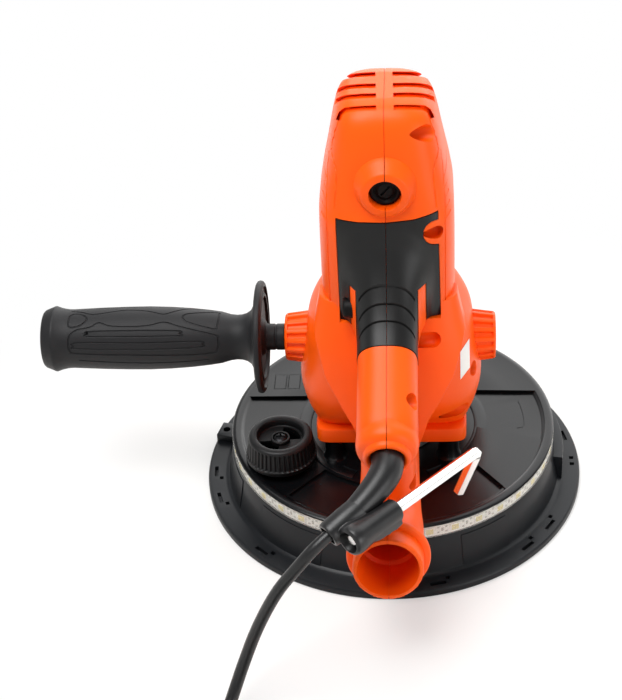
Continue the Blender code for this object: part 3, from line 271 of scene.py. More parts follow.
def deselect():
    """Leaves nothing selected, in object mode."""
    if bpy.context.object and bpy.context.object.mode != "OBJECT":
        bpy.ops.object.mode_set(mode="OBJECT")
    bpy.ops.object.select_all(action="DESELECT")


def only(piece):
    """Leaves one piece selected and active."""
    deselect()
    piece.select_set(True)
    bpy.context.view_layer.objects.active = piece


def apply(piece, kind, **settings):
    """Adds a modifier to a piece, sets it and applies it."""
    only(piece)
    bpy.ops.object.modifier_add(type=kind)
    modifier = piece.modifiers[-1]
    for key, value in settings.items():
        setattr(modifier, key, value)
    bpy.ops.object.modifier_apply(modifier=modifier.name)
    return piece


def named(name):
    """The object that an operator has just made, named."""
    piece = bpy.context.object
    piece.name = name
    piece.data.name = name
    return piece


def close(piece):
    """Merges doubles, fills open ends and turns every face outwards."""
    only(piece)
    bpy.ops.object.mode_set(mode="EDIT")
    bpy.ops.mesh.select_all(action="SELECT")
    bpy.ops.mesh.remove_doubles(threshold=MERGE * MM)
    bpy.ops.mesh.fill_holes(sides=0)
    bpy.ops.mesh.select_all(action="SELECT")
    bpy.ops.mesh.normals_make_consistent(inside=False)
    bpy.ops.object.mode_set(mode="OBJECT")
    return piece


def skin(name, rings):
    """A closed form drawn over rings of points: a grid wrapped around them, its ends filled."""
    around = len(rings[0])
    deselect()
    bpy.ops.mesh.primitive_grid_add(x_subdivisions=around, y_subdivisions=len(rings) - 1, size=MM)
    piece = named(name)
    for index, vertex in enumerate(piece.data.vertices):
        row, step = divmod(index, around + 1)
        vertex.co = Vector(rings[row][step % around]) * MM
    return close(piece)


def turned(name, profile, steps=96, place=None):
    """A piece spun from a closed profile of radius and distance along its axis."""
    deselect()
    bpy.ops.mesh.primitive_circle_add(vertices=len(profile), radius=MM)
    piece = named(name)
    for vertex, (radius, along) in zip(piece.data.vertices, profile):
        vertex.co = (radius * MM, 0.0, along * MM)
    bpy.ops.object.mode_set(mode="EDIT")
    bpy.ops.mesh.select_all(action="SELECT")
    bpy.ops.mesh.spin(steps=steps, angle=2 * math.pi, center=(0.0, 0.0, 0.0), axis=(0.0, 0.0, 1.0))
    bpy.ops.object.mode_set(mode="OBJECT")
    close(piece)
    if place is not None:
        piece.data.transform(place)
    return piece


def prism(name, outline, low, high, lay=None):
    """An outline filled and extruded from one level to another."""
    deselect()
    bpy.ops.mesh.primitive_circle_add(vertices=len(outline), radius=MM, fill_type="NGON")
    piece = named(name)
    for vertex, (across, along) in zip(piece.data.vertices, outline):
        vertex.co = (across * MM, along * MM, low * MM)
    bpy.ops.object.mode_set(mode="EDIT")
    bpy.ops.mesh.select_all(action="SELECT")
    bpy.ops.mesh.extrude_region_move(TRANSFORM_OT_translate={"value": (0.0, 0.0, (high - low) * MM)})
    bpy.ops.object.mode_set(mode="OBJECT")
    if lay is not None:
        piece.data.transform(lay)
    return close(piece)


def rectangle(low, high):
    """Corners of a rectangle between two of them."""
    return (low[0], low[1]), (high[0], low[1]), (high[0], high[1]), (low[0], high[1])


def block(name, low, high, lay=None):
    """A block between two corners."""
    return prism(name, rectangle(low, high), low[2], high[2], lay)


def pointing(start, direction):
    """A place at a point, in mm, with Z along a direction."""
    turn = Vector(direction).to_track_quat("Z", "Y").to_matrix().to_4x4()
    return Matrix.Translation(Vector(start) * MM) @ turn


def rod(name, start, end, radius, steps=48, end_radius=None):
    """A round bar or cone between two points."""
    start, end = Vector(start), Vector(end)
    last = radius if end_radius is None else end_radius
    profile = ((0.0, 0.0), (radius, 0.0), (last, (end - start).length), (0.0, (end - start).length))
    return turned(name, profile, steps, pointing(start, end - start))


def join(pieces, name):
    """Several pieces made one object."""
    only(pieces[0])
    for piece in pieces[1:]:
        piece.select_set(True)
    bpy.ops.object.join()
    return named(name)


def twin(piece, name):
    """A copy of a piece with its own mesh."""
    only(piece)
    bpy.ops.object.duplicate()
    return named(name)


def carve(piece, tools, how="DIFFERENCE", keep=False):
    """Cuts, adds or keeps what each tool covers."""
    for tool in tools:
        before = len(piece.data.vertices)
        apply(piece, "BOOLEAN", operation=how, solver="MANIFOLD", object=tool)
        if len(piece.data.vertices) in (0, before):
            raise RuntimeError(tool.name + " didn't shape " + piece.name)
        if not keep:
            bpy.data.objects.remove(tool)
    return piece


def remesh(piece, size, turns):
    """One skin over everything in a piece, with its edges softened."""
    apply(piece, "REMESH", mode="VOXEL", voxel_size=size * MM)
    return apply(piece, "SMOOTH", factor=SMOOTHING, iterations=turns)


def soften(piece, weight, turns):
    """Smooths a piece where a weight of each place says so."""
    group = piece.vertex_groups.new(name="soft")
    for vertex in piece.data.vertices:
        amount = weight(vertex.co / MM)
        if amount > 0.0:
            group.add([vertex.index], min(1.0, amount), "REPLACE")
    apply(piece, "SMOOTH", factor=SMOOTHING, iterations=turns, vertex_group=group.name)
    piece.vertex_groups.clear()
    return piece


def swollen(piece, name, distance):
    """A copy of a piece grown along its normals by a distance, or shrunk."""
    copy = twin(piece, name)
    return apply(copy, "DISPLACE", strength=distance * MM, mid_level=0.0)


def bevel(piece, width, segments=2, angle=35.0):
    """Rounds a piece's sharp edges."""
    return apply(piece, "BEVEL", width=width * MM, segments=segments, limit_method="ANGLE",
                 angle_limit=math.radians(angle), harden_normals=False)


def dress(piece, body, material, nodes=(), angle=40.0):
    """Shades a finished piece, gives it its finish and hangs it in the frame."""
    only(piece)
    bpy.ops.object.shade_smooth_by_angle(angle=math.radians(angle))
    piece.data.materials.clear()
    piece.data.materials.append(finish(material))
    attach(piece, body)
    if nodes:
        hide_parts(*nodes)
    return piece


# Curves through stations

def through(stations, steps):
    """Stations drawn finer by a smooth run through them."""
    run, last = [], len(stations) - 1
    for index in range(last):
        a, b, c, d = (stations[max(0, min(last, index + k))] for k in (-1, 0, 1, 2))
        for step in range(steps):
            t = step / steps
            run.append(tuple(0.5 * (2 * q + (r - p) * t + (2 * p - 5 * q + 4 * r - s) * t * t
                                    + (3 * q - p - 3 * r + s) * t ** 3) for p, q, r, s in zip(a, b, c, d)))
    run.append(tuple(stations[-1]))
    return run


def spaced(route, step):
    """Points at an even distance along the smooth run through a route."""
    fine = [Vector(point) for point in through(route, 40)]
    lengths = [0.0]
    for before, after in zip(fine, fine[1:]):
        lengths.append(lengths[-1] + (after - before).length)
    count = max(2, round(lengths[-1] / step))
    points, place = [], 0
    for index in range(count + 1):
        want = lengths[-1] * index / count
        while place < len(fine) - 2 and lengths[place + 1] < want:
            place += 1
        part = (want - lengths[place]) / max(1e-9, lengths[place + 1] - lengths[place])
        points.append(fine[place].lerp(fine[place + 1], part))
    return points


def oval(half_across, half_along, power, count):
    """Points around a rounded rectangle."""
    points = []
    for index in range(count):
        angle = 2 * math.pi * (index + 0.5) / count
        c, s = math.cos(angle), math.sin(angle)
        points.append((math.copysign(abs(c) ** (2 / power), c) * half_across,
                       math.copysign(abs(s) ** (2 / power), s) * half_along))
    return points


def upright(stations, count=96):
    """Level sections of an upright form."""
    rings = []
    for height, half_x, rear, front, power in stations:
        middle, half_y = (rear + front) / 2, (front - rear) / 2
        rings.append([(x, middle + y, height) for x, y in oval(half_x, half_y, power, count)])
    return rings


def handle_rings(stations, count=72):
    """Sections of the rear handle between its top line and its underside."""
    rings = []
    for top_y, top_z, low_y, low_z, half_x in stations:
        high, down = Vector((0.0, top_y, top_z)), Vector((0.0, low_y, low_z))
        middle, along = (high + down) / 2, (high - down) / 2
        section = oval(half_x, 1.0, HANDLE_POWER, count)
        rings.append([middle + along * y + Vector((x, 0.0, 0.0)) for x, y in section])
    return rings


def duct_rings(stations, count=72):
    """Sections of the dust duct, which turn square to the tilted port as they get round."""
    rings = []
    for rear, half_x, low, top, power in stations:
        middle, half_z = (low + top) / 2, (top - low) / 2
        lean = math.tan(PORT_TILT) * max(0.0, min(1.0, 3.0 - power))
        rings.append([(x, rear + lean * z, middle + z) for x, z in oval(half_x, half_z, power, count)])
    return rings


BARREL_FINE = through(BARREL, 12)


def barrel_rear(x, z):
    """How far back the barrel's rear face is at a place."""
    half_x, rear, front, power = max(station for station in BARREL_FINE if station[0] <= z)[1:]
    middle, half_y = (rear + front) / 2, (front - rear) / 2
    return middle - half_y * max(0.0, 1.0 - min(1.0, abs(x) / half_x) ** power) ** (1 / power)


def ring_about(centre, side, up, points):
    """Points in a plane, placed about a centre."""
    return [centre + side * across + up * along for across, along in points]


def tangent(route, index):
    """The direction of a route at one of its points."""
    return (route[min(index + 1, len(route) - 1)] - route[max(index - 1, 0)]).normalized()


def sweep(name, route, sections):
    """A tube along a route with a section of its own at each point; the sections stay upright."""
    rings = []
    for index, point in enumerate(route):
        ahead = tangent(route, index)
        side = ahead.cross(Vector((0.0, 0.0, 1.0))).normalized()
        rings.append(ring_about(point, side, side.cross(ahead), sections[index]))
    return skin(name, rings)


def circle(radius, count):
    """Points around a circle."""
    return arc(radius, 0.0, 360.0, count)[:-1]


def arc(radius, start, end, steps):
    """Points along an arc between two angles in degrees."""
    angles = [math.radians(start + (end - start) * i / steps) for i in range(steps + 1)]
    return [(radius * math.cos(angle), radius * math.sin(angle)) for angle in angles]


def sector(inner, outer, start, end, steps):
    """Outline of a part of a ring between two angles in degrees."""
    return arc(outer, start, end, steps) + arc(inner, end, start, steps)


def fluted(radius, deep, flutes, sharpness, count):
    """Points around a circle with flutes cut into it, or ribs left on it where the sharpness is below 0."""
    points = []
    for step in range(count):
        angle = 2 * math.pi * step / count
        size = radius - deep * (0.5 + 0.5 * math.tanh(sharpness * math.cos(flutes * angle)))
        points.append((size * math.cos(angle), size * math.sin(angle)))
    return points


def tube(name, route, radius, roundness, closed=False):
    """A round curve along a route."""
    curve = bpy.data.curves.new(name, "CURVE")
    curve.dimensions = "3D"
    curve.bevel_depth = radius * MM
    curve.bevel_resolution = roundness
    curve.use_fill_caps = not closed
    spline = curve.splines.new("POLY")
    spline.points.add(len(route) - 1)
    for point, place in zip(spline.points, route):
        point.co = (*(Vector(place) * MM), 1.0)
    spline.use_cyclic_u = closed
    piece = bpy.data.objects.new(name, curve)
    bpy.context.scene.collection.objects.link(piece)
    return piece


def groove(name, route, radius, closed=False):
    """A thin round tool along a route on a surface."""
    only(tube(name, route, radius, 2, closed))
    bpy.ops.object.convert(target="MESH")
    return close(named(name))


# Finishes

# Size of the patches that a plastic's tone drifts over, and place of the colour among a Mix node's results
PATCH, MIXED_COLOUR = 35, 2


def add(tree, kind, links=None, values=None, **settings):
    """Adds a shader node with its settings, its sockets' values and what feeds them."""
    node = tree.nodes.new("ShaderNode" + kind)
    for key, value in settings.items():
        setattr(node, key, value)
    sockets = {socket.name: socket for socket in reversed(node.inputs)}
    sockets.update({socket.identifier: socket for socket in node.inputs})
    for key, value in (values or {}).items():
        sockets[key].default_value = value
    for key, source in (links or {}).items():
        tree.links.new(source, sockets[key])
    return node


def fresh(name):
    """A new material with its node tree and its shader."""
    material = bpy.data.materials.new(name)
    material.use_nodes = True
    return material, material.node_tree, material.node_tree.nodes["Principled BSDF"]


def moulded(name, colour, drift, roughness, grain, depth, sockets=None):
    """A moulded plastic: its tone drifts over hand-sized patches and the mould's texture gives it a grain.

    The grain is in mm and drawn coarse enough to show in the render.
    """
    material, tree, shader = fresh(name)
    place = add(tree, "TexCoord").outputs["Object"]
    patch = add(tree, "TexNoise", {"Vector": place}, {"Scale": 1 / (PATCH * MM), "Detail": 3.0})
    darker = tuple(c * (1 - drift) for c in colour[:3]) + (1.0,)
    lighter = tuple(min(1.0, c * (1 + drift) + drift * 0.004) for c in colour[:3]) + (1.0,)
    tone = add(tree, "Mix", {"Factor_Float": patch.outputs["Fac"]}, {"A_Color": darker, "B_Color": lighter},
               data_type="RGBA")
    tree.links.new(tone.outputs[MIXED_COLOUR], shader.inputs["Base Color"])
    pits = add(tree, "TexNoise", {"Vector": place}, {"Scale": 1 / (grain * MM), "Detail": 2.0}).outputs["Fac"]
    gloss = add(tree, "MapRange", {"Value": pits}, {"To Min": roughness - 0.05, "To Max": roughness + 0.06})
    tree.links.new(gloss.outputs["Result"], shader.inputs["Roughness"])
    bump = add(tree, "Bump", {"Height": pits}, {"Strength": 0.6, "Distance": depth * MM})
    tree.links.new(bump.outputs["Normal"], shader.inputs["Normal"])
    for key, value in (sockets or {}).items():
        shader.inputs[key].default_value = value
    return material


def metal(name, colour, roughness, grain, stretch, depth):
    """A bare metal: fine marks of how it was made, drawn out along one axis by the stretch."""
    material, tree, shader = fresh(name)
    place = add(tree, "TexCoord").outputs["Object"]
    drawn = add(tree, "Mapping", {"Vector": place}, {"Scale": stretch}).outputs["Vector"]
    scale = 1 / (grain * MM)
    marks = add(tree, "TexNoise", {"Vector": drawn}, {"Scale": scale, "Detail": 4.0}).outputs["Fac"]
    gloss = add(tree, "MapRange", {"Value": marks}, {"To Min": roughness * 0.75, "To Max": roughness * 1.3})
    tree.links.new(gloss.outputs["Result"], shader.inputs["Roughness"])
    bump = add(tree, "Bump", {"Height": marks}, {"Strength": 0.5, "Distance": depth * MM})
    tree.links.new(bump.outputs["Normal"], shader.inputs["Normal"])
    shader.inputs["Base Color"].default_value = colour
    shader.inputs["Metallic"].default_value = 1.0
    return material


def banded(name, dark, light, period, along, roughness, metallic, depth):
    """A metal in bands side by side, such as wire turns or pressed sheets, a period in mm apart."""
    material, tree, shader = fresh(name)
    place = add(tree, "TexCoord").outputs["Object"]
    scale = math.pi / (10 * period * MM)
    bands = add(tree, "TexWave", {"Vector": place}, {"Scale": scale, "Distortion": 0.3},
                bands_direction=along).outputs["Fac"]
    tone = add(tree, "Mix", {"Factor_Float": bands}, {"A_Color": dark, "B_Color": linear(light)},
               data_type="RGBA")
    tree.links.new(tone.outputs[MIXED_COLOUR], shader.inputs["Base Color"])
    bump = add(tree, "Bump", {"Height": bands}, {"Strength": 0.6, "Distance": depth * MM})
    tree.links.new(bump.outputs["Normal"], shader.inputs["Normal"])
    shader.inputs["Roughness"].default_value = roughness
    shader.inputs["Metallic"].default_value = metallic
    return material


# Marks that look the same along every axis
EVEN = (1.0, 1.0, 1.0)
# Finishes: maker, colour as a property's name or a hex value, and the rest of what the maker takes
FINISHES = {
    # ABS out of a spark-eroded mould: saturated, satin, with a very fine even grain
    "satin_orange_abs": (moulded, "shell", 0.03, 0.40, 0.6, 0.02, {"IOR": 1.53, "Specular IOR Level": 0.22}),
    # Thermoplastic elastomer moulded over the shell: dark grey, dull, slightly soft to the light
    "soft_elastomer": (moulded, "grip", 0.06, 0.40, 0.5, 0.02, {"IOR": 1.5, "Specular IOR Level": 0.3}),
    # Glass-filled nylon of the side handle and the small controls: near black with a dull gloss
    "filled_nylon": (moulded, "nylon", 0.08, 0.55, 0.7, 0.02, {"IOR": 1.53, "Specular IOR Level": 0.27}),
    # Polished ABS of the drum: black with clear soft reflections
    "polished_black_abs": (moulded, "drum", 0.06, 0.24, 2.5, 0.001, {"IOR": 1.53, "Specular IOR Level": 0.3}),
    # Polypropylene of the skirt: charcoal, satin, a little waxy
    "satin_polypropylene": (moulded, "skirt", 0.06, 0.34, 1.2, 0.004,
                            {"IOR": 1.49, "Specular IOR Level": 0.22}),
    # Phenolic resin of the brush caps and the lock button: deep black and dull
    "phenolic_resin": (moulded, "080808", 0.1, 0.5, 1.0, 0.003, {"IOR": 1.5, "Specular IOR Level": 0.15}),
    # Acetal of the suction knob: black, slippery and a little glossy
    "knob_acetal": (moulded, "101011", 0.06, 0.42, 1.0, 0.004, {"IOR": 1.48, "Specular IOR Level": 0.3}),
    # PVC of the cord, its sleeve and the key holder: black with a smooth gloss
    "cord_pvc": (moulded, "cord", 0.05, 0.36, 2.0, 0.004, {"IOR": 1.54, "Specular IOR Level": 0.42}),
    # Cast silicone over the lamps: clear and a little milky, bright where it is seen along its face
    "clear_silicone": (moulded, "F2F0EA", 0.01, 0.2, 3.0, 0.002, {"IOR": 1.5, "Alpha": 0.22}),
    # Label film: white, smooth, slightly glossy
    "label_film": (moulded, "F1F0EC", 0.02, 0.3, 1.5, 0.004),
    # Pressed carbon of the brushes: black, dusty
    "pressed_carbon": (moulded, "1A1A1B", 0.15, 0.6, 0.3, 0.02),
    # Closed-cell foam of the pad and the seal: dull grey with visible cells
    "cell_foam": (moulded, "2E2F31", 0.2, 0.85, 0.9, 0.12),
    # Coated abrasive: brown grains on paper, drawn 0.7 mm across
    "coated_grit": (moulded, "grit", 0.35, 0.8, 0.7, 0.25),
    # Flexible lamp board: off-white lacquer, slightly glossy
    "lamp_board": (moulded, "tape", 0.05, 0.35, 1.5, 0.01),
    # Phosphor in silicone: pale yellow, smooth
    "lamp_phosphor": (moulded, "lamp", 0.06, 0.3, 1.0, 0.01),
    # Blackened screw steel: dark, softly bright
    "black_steel": (metal, "2A2A2C", 0.4, 0.4, EVEN, 0.004),
    # Zinc-plated screw steel: grey, evenly bright
    "plated_steel": (metal, "B9BBBD", 0.32, 0.4, EVEN, 0.004),
    # Drawn and nickelled key steel: almost white, with marks along the bar
    "drawn_steel": (metal, "F0F0EF", 0.22, 0.5, (0.2, 0.2, 1.0), 0.003),
    # Ground shaft and gear steel: turned marks around the axis
    "ground_steel": (metal, "A9ABAE", 0.26, 0.6, (0.15, 0.15, 1.0), 0.004),
    # Pressure-cast zinc alloy: pale, granular and dull
    "cast_alloy": (metal, "C9CACB", 0.46, 0.7, EVEN, 0.02),
    # Turned brass of inserts and brush holders: yellow, bright, with fine turned marks
    "turned_brass": (metal, "D8B25A", 0.25, 0.5, (0.2, 1.0, 1.0), 0.004),
    # Solder on the lamp board: grey and bright
    "lamp_solder": (metal, "A9A79E", 0.35, 0.5, EVEN, 0.01),
    # Enamelled copper wire: reddish turns, drawn 1.2 mm apart so that they show
    "wound_copper": (banded, "5E2A16", "C9744A", 1.2, "Z", 0.35, 0.9, 0.15),
    # Copper bars of the commutator: bright red-brown stripes with dark gaps
    "copper_bars": (banded, "7A3F22", "D08A5C", 1.6, "X", 0.28, 1.0, 0.1),
    # Pressed sheet stack of the motor: dark steel lines, drawn 1.4 mm apart
    "sheet_stack": (banded, "4A4C4E", "8B8D90", 1.4, "Z", 0.4, 1.0, 0.1),
}


def finish(name):
    """The material of that name, made once."""
    maker, colour, *values = FINISHES[name]
    colours = bpy.context.scene.sander_colours
    tint = getattr(colours, colour) if hasattr(colours, colour) else linear(colour)
    return bpy.data.materials.get(name) or maker(name, tint, *values)


# Housing and grips

def fuse(pieces, name):
    """Pieces that may overlap, united into one."""
    whole = pieces[0]
    for piece in pieces[1:]:
        apply(whole, "BOOLEAN", operation="UNION", solver="MANIFOLD", object=piece)
        bpy.data.objects.remove(piece)
    only(whole)
    return named(name)


def bullet(name, start, end, radius, steps=40, round_end=False):
    """A round bar with a ball-shaped start, and end where that is asked for."""
    start, end = Vector(start), Vector(end)
    reach = (end - start).length
    angles = [math.pi / 2 * i / 8 for i in range(9)]
    nose = [(radius * math.sin(angle), -radius * math.cos(angle)) for angle in angles]
    tail = [(radius, reach), (0.0, reach)]
    if round_end:
        tail = [(size, reach - along) for size, along in reversed(nose)]
    return turned(name, nose + tail, steps, pointing(start, end - start))


def fluted_boss(side, flutes):
    """One side boss with its flutes, narrower towards its end."""
    rings = []
    for x, radius, deep in ((33.0, 16.6, 0.0), (39.6, 16.2, 0.0), (41.2, 15.9, 1.9), (58.2, 13.7, 1.9),
                            (58.6, 13.6, 0.3), (59.4, 13.3, 0.0), (60.0, 12.7, 0.0)):
        ring = fluted(radius, deep, flutes, 3.0, flutes * 16)
        rings.append([(side * x, y, SIDE_Z + z) for y, z in ring])
    return skin("side_boss", rings)


def shell_form(grain):
    """The housing's smooth form as one skin: barrel, bell, rear handle, duct and column."""
    parts = [skin("barrel", upright(through(BARREL, 6))), skin("bell", upright(through(BELL, 6))),
             skin("handle", handle_rings(through(HANDLE, 8))), skin("duct", duct_rings(through(DUCT, 6))),
             skin("column", upright(through(COLUMN, 4)))]
    form = remesh(join(parts, "shell_form"), grain, 3)

    def root(place):
        """Weight of the hollow blend between the panel and the handle."""
        x, y, z = place
        near = max(0.0, 1.0 - abs(y - ROOT_Y) / ROOT_REACH)
        within = max(0.0, 1.0 - max(0.0, abs(x) - ROOT_HALF) / ROOT_FADE)
        return 2.0 * near * within if ROOT_LOW < z < ROOT_HIGH else 0.0

    return soften(form, root, ROOT_TURNS)


def crisp_parts(flutes):
    """Forms that keep their edges: apron, base plate, bosses, collar and the port's bead."""
    apron = carve(skin("apron", upright(through(APRON, 6))),
                  [prism("apron_outline", APRON_OUTLINE, 20.0, 80.0, STANDING)], "INTERSECT")
    parts = [remesh(apron, 0.7, 2), skin("base", upright(BASE, 144))]
    for side in (-1, 1):
        parts.append(fluted_boss(side, flutes))
        cone = ((0.0, 0.0), (18.6, 0.0), (17.4, 4.4), (16.3, 6.4), (13.2, 11.0), (12.7, 11.9), (11.9, 12.4),
                (0.0, 12.4))
        parts.append(turned("cap_boss", cone, 96, pointing((0.0, side * 30.0, BRUSH_Z), (0.0, side, 0.0))))
    collar = ((0.0, -12.0), (16.0, -12.0), (16.3, -7.0), (16.1, -4.6), (15.4, -2.4), (14.2, -0.8),
              (13.0, -0.2), (12.4, 0.2), (12.3, 1.8), (11.9, 2.8), (11.0, 3.5), (0.0, 3.5))
    parts.append(turned("collar", collar, 96, pointing(GLAND, CORD_AXIS)))
    bead = ((0.0, 2.0), (20.8, 2.0), (21.6, 1.5), (21.9, 0.6), (21.9, -0.8), (21.5, -1.6), (20.4, -2.0),
            (0.0, -2.0))
    parts.append(turned("bead", bead, 96, pointing(PORT_MOUTH - PORT_AXIS * 13.0, PORT_AXIS)))
    return parts


def on_rear_face(line, side):
    """A line drawn in XZ, laid on one side of the barrel's rear face."""
    return [(side * x, barrel_rear(x, z) - 0.1, z) for x, z in line]


def crease_tools():
    """Thin tools for the lines where the rear face meets the side strips, and for the strips' ribs."""
    tools = []
    for side in (-1, 1):
        tools.append(groove("panel_line", on_rear_face(through(PANEL_EDGE, 6), side), 0.75))
        heights = range(STRIP_LOW, STRIP_HIGH + 1, 3)
        strip = [(STRIP_EDGE - max(0.0, z - STRIP_BEND) * STRIP_LEAN, z) for z in heights]
        tools.append(groove("strip_line", on_rear_face(strip, side), 0.6))
        for height in STRIP_RIBS:
            start = STRIP_EDGE + STRIP_RIB_START - (height - STRIP_RIBS[0]) * STRIP_LEAN
            across = [start + step for step in (0.0, 0.8, 1.6, 2.4)]
            rib = [(x, height + (x - STRIP_EDGE) * STRIP_RIB_RISE) for x in across]
            tools.append(groove("strip_rib", on_rear_face(rib, side), 0.5))
    return tools


def last_vent_end(high, low):
    """Outer end of the lowest air slot, which bends down; its slit ends before the bend."""
    if high - low < 1.0:
        return [(VENT_SHORT, high), (VENT_SHORT, low)]
    narrow = (high - low) * 0.4
    return [(20.5, high), (23.4, high - 1.5), (25.4, high - 5.3), (24.2 - narrow, low - 4.1),
            (22.6 - narrow, low - 0.9), (20.4 - narrow, low)]


def vent_slabs(high, low):
    """Thin slabs along the line of sight for the air slots, so the slots run straight across."""
    tools = []
    for level, depth in VENTS:
        outline = [(VENT_NEAR, high), (VENT_FAR, high), (VENT_FAR, low), (VENT_NEAR, low)]
        if level == VENTS[-1][0]:
            outline[1:3] = last_vent_end(high, low)
        for side in (-1, 1):
            slab = [(side * x, level + y) for x, y in outline]
            tools.append(prism("vent", slab, depth - VENT_IN, depth + VENT_OUT, FACING))
    return tools


def vent_tools(form, width):
    """Each air slot is a wide groove in the skin with a narrow slit through at its upper side."""
    grooves = fuse(vent_slabs(width / 2, -width / 2), "vent_grooves")
    carve(grooves, [swollen(form, "vent_core", -VENT_DEEP)])
    return [grooves] + vent_slabs(width / 2, width / 2 - VENT_SLIT)


def button_hole():
    """A tool for the lock button's hole."""
    return rod("button_hole", (-6.0, LOCK_Y, LOCK_Z), (LOCK_MOUTH, LOCK_Y, LOCK_Z), LOCK_HOLE, 40)


def opening_tools(form, sizes):
    """Everything that is cut into the moulded form: bore, holes, recesses, air slots."""
    bore = ((0.0, -3.0), (16.6, -3.0), (16.0, 0.6), (15.7, 1.6), (15.7, 26.0), (13.8, 27.5), (13.8, 78.0),
            (0.0, 78.0))
    tools = [turned("bore", bore, 96, pointing(PORT_MOUTH, -PORT_AXIS)),
             block("duct_mouth", (-12.0, -82.0, 30.0), (12.0, -56.0, 52.0)),
             rod("neck_hole", (0.0, 0.0, 40.0), (0.0, 0.0, 56.0), 29.8, 96)]
    gland = ((0.0, -16.0), (8.9, -16.0), (8.9, 1.6), (9.2, 2.6), (9.9, 3.4), (10.6, 3.7), (10.6, 9.0),
             (0.0, 9.0))
    tools.append(turned("gland_hole", gland, 72, pointing(GLAND, CORD_AXIS)))
    for side in (-1, 1):
        tools.append(rod("insert_hole", (side * 38.0, 0.0, SIDE_Z), (side * 64.0, 0.0, SIDE_Z), INSERT_HOLE))
        tools.append(rod("cap_hole", (0.0, side * 29.0, BRUSH_Z), (0.0, side * 50.0, BRUSH_Z), CAP_HOLE, 72))
    for rear, height, seat, mouth in SCREWS:
        start, end = (seat + RECESS * 0.6, rear, height), (mouth, rear, height)
        tools.append(bullet("screw_recess", start, end, RECESS, round_end=mouth < RECESS_OPEN))
    tools.append(button_hole())
    tools.append(block("trigger_slot", (-6.8, -13.8, -14.0), (6.8, 13.8, 16.0), trigger_place()))
    return tools + vent_tools(form, sizes.vent_width / MM)


def trigger_place():
    """The trigger's frame: X across, Y along the handle's underside, Z out of it."""
    out = Vector((0.0, -TRIGGER_ALONG.z, TRIGGER_ALONG.y))
    turn = Matrix((TRIGGER_ALONG.cross(out), TRIGGER_ALONG, out)).transposed().to_4x4()
    return Matrix.Translation(TRIGGER_MIDDLE * MM) @ turn


def motor_space(form):
    """The hollow inside the housing, clear of the walls around its openings."""
    space = swollen(form, "motor_space", -WALL)
    apply(space, "REMESH", mode="VOXEL", voxel_size=1.9 * MM)
    solid = [block("duct_walls", (-60.0, -200.0, 20.0), (60.0, -53.0, 92.0)),
             rod("gland_wall", GLAND - CORD_AXIS * 22.0, GLAND + CORD_AXIS * 12.0, 13.0)]
    for side in (-1, 1):
        solid.append(rod("cap_wall", (0.0, side * 24.0, BRUSH_Z), (0.0, side * 50.0, BRUSH_Z), CAP_WALL))
        solid.append(rod("insert_wall", (side * 35.0, 0.0, SIDE_Z), (side * 64.0, 0.0, SIDE_Z), INSERT_WALL))
    for rear, height, seat, _ in SCREWS:
        start, end = (seat - 4.0, rear, height), (RECESS_OPEN, rear, height)
        solid.append(rod("screw_wall", start, end, SCREW_WALL, 24))
    return carve(space, [fuse(solid, "walls")])


def offset(outline, distance):
    """An outline drawn in by a distance; it runs clockwise."""
    points = []
    for index, point in enumerate(outline):
        before, after = Vector(outline[index - 1]), Vector(outline[(index + 1) % len(outline)])
        point = Vector(point)
        first, second = (point - before).normalized(), (after - point).normalized()
        normal = Vector((first.y, -first.x)) + Vector((second.y, -second.x))
        points.append(tuple(point + normal * distance / max(0.4, normal.length_squared / 2)))
    return points


def grip_region(gap):
    """Where the soft grip lies: rear panel, its two legs and the tongue on the handle."""
    region = prism("grip_panel", offset(PANEL, gap), 20.0, 90.0, STANDING)
    tongue = prism("grip_tongue", offset(TONGUE, gap), gap - TONGUE_HALF, TONGUE_HALF - gap, ACROSS)
    carve(region, [tongue], "UNION")
    rear, height = SCREWS[1][:2]
    return carve(region, [bullet("boss_clear", (25.2, rear, height), (60.0, rear, height), 7.2 + gap, 64)])


def seam_tool(form, width, deep):
    """A tool for the groove along the parting line."""
    slab = block("seam", (-width / 2, -200.0, 20.0), (width / 2, 80.0, 280.0))
    core = swollen(form, "seam_core", -deep)
    return carve(slab, [core])


def halves(piece, gap):
    """A piece parted at the middle into its left and right halves."""
    result = []
    for side, word in ((-1, "left"), (1, "right")):
        half = twin(piece, piece.name + "_" + word)
        near, far = sorted((side * gap / 2, side * 250.0))
        carve(half, [block("side", (near, -400.0, -50.0), (far, 400.0, 400.0))], "INTERSECT")
        result.append((word, half))
    bpy.data.objects.remove(piece)
    return result


class SANDER_OT_housing(bpy.types.Operator):
    """Models the two orange housing halves and the bare label on the right one"""
    bl_idname = "sander.housing"
    bl_label = "Housing halves"

    def execute(self, context):
        sizes = context.scene.sander_sizes
        form = shell_form(sizes.shell_grain / MM)
        shell = twin(form, "housing_shell")
        carve(shell, [fuse(crisp_parts(sizes.boss_flutes), "crisp_parts")], "UNION")
        label = prism("blank_label", LABEL, 50.0, 110.0, FACING)
        carve(label, [swollen(form, "label_skin", LABEL_THICK)], "INTERSECT")
        carve(label, [form], keep=True)
        dress(label, SHELL_BODY, "label_film", angle=60.0)
        carve(shell, [fuse(opening_tools(form, sizes), "openings")])
        pocket = carve(grip_region(0.0), [swollen(form, "pocket_core", -SKIN - 0.4)])
        lines = crease_tools() + [pocket, seam_tool(form, sizes.seam_width / MM, SHELL_SEAM)]
        carve(shell, [fuse(lines, "lines"), motor_space(form)])
        for word, half in halves(shell, SHELL_PART):
            dress(half, SHELL_BODY, "satin_orange_abs", ("housing_" + word,))
        return {"FINISHED"}


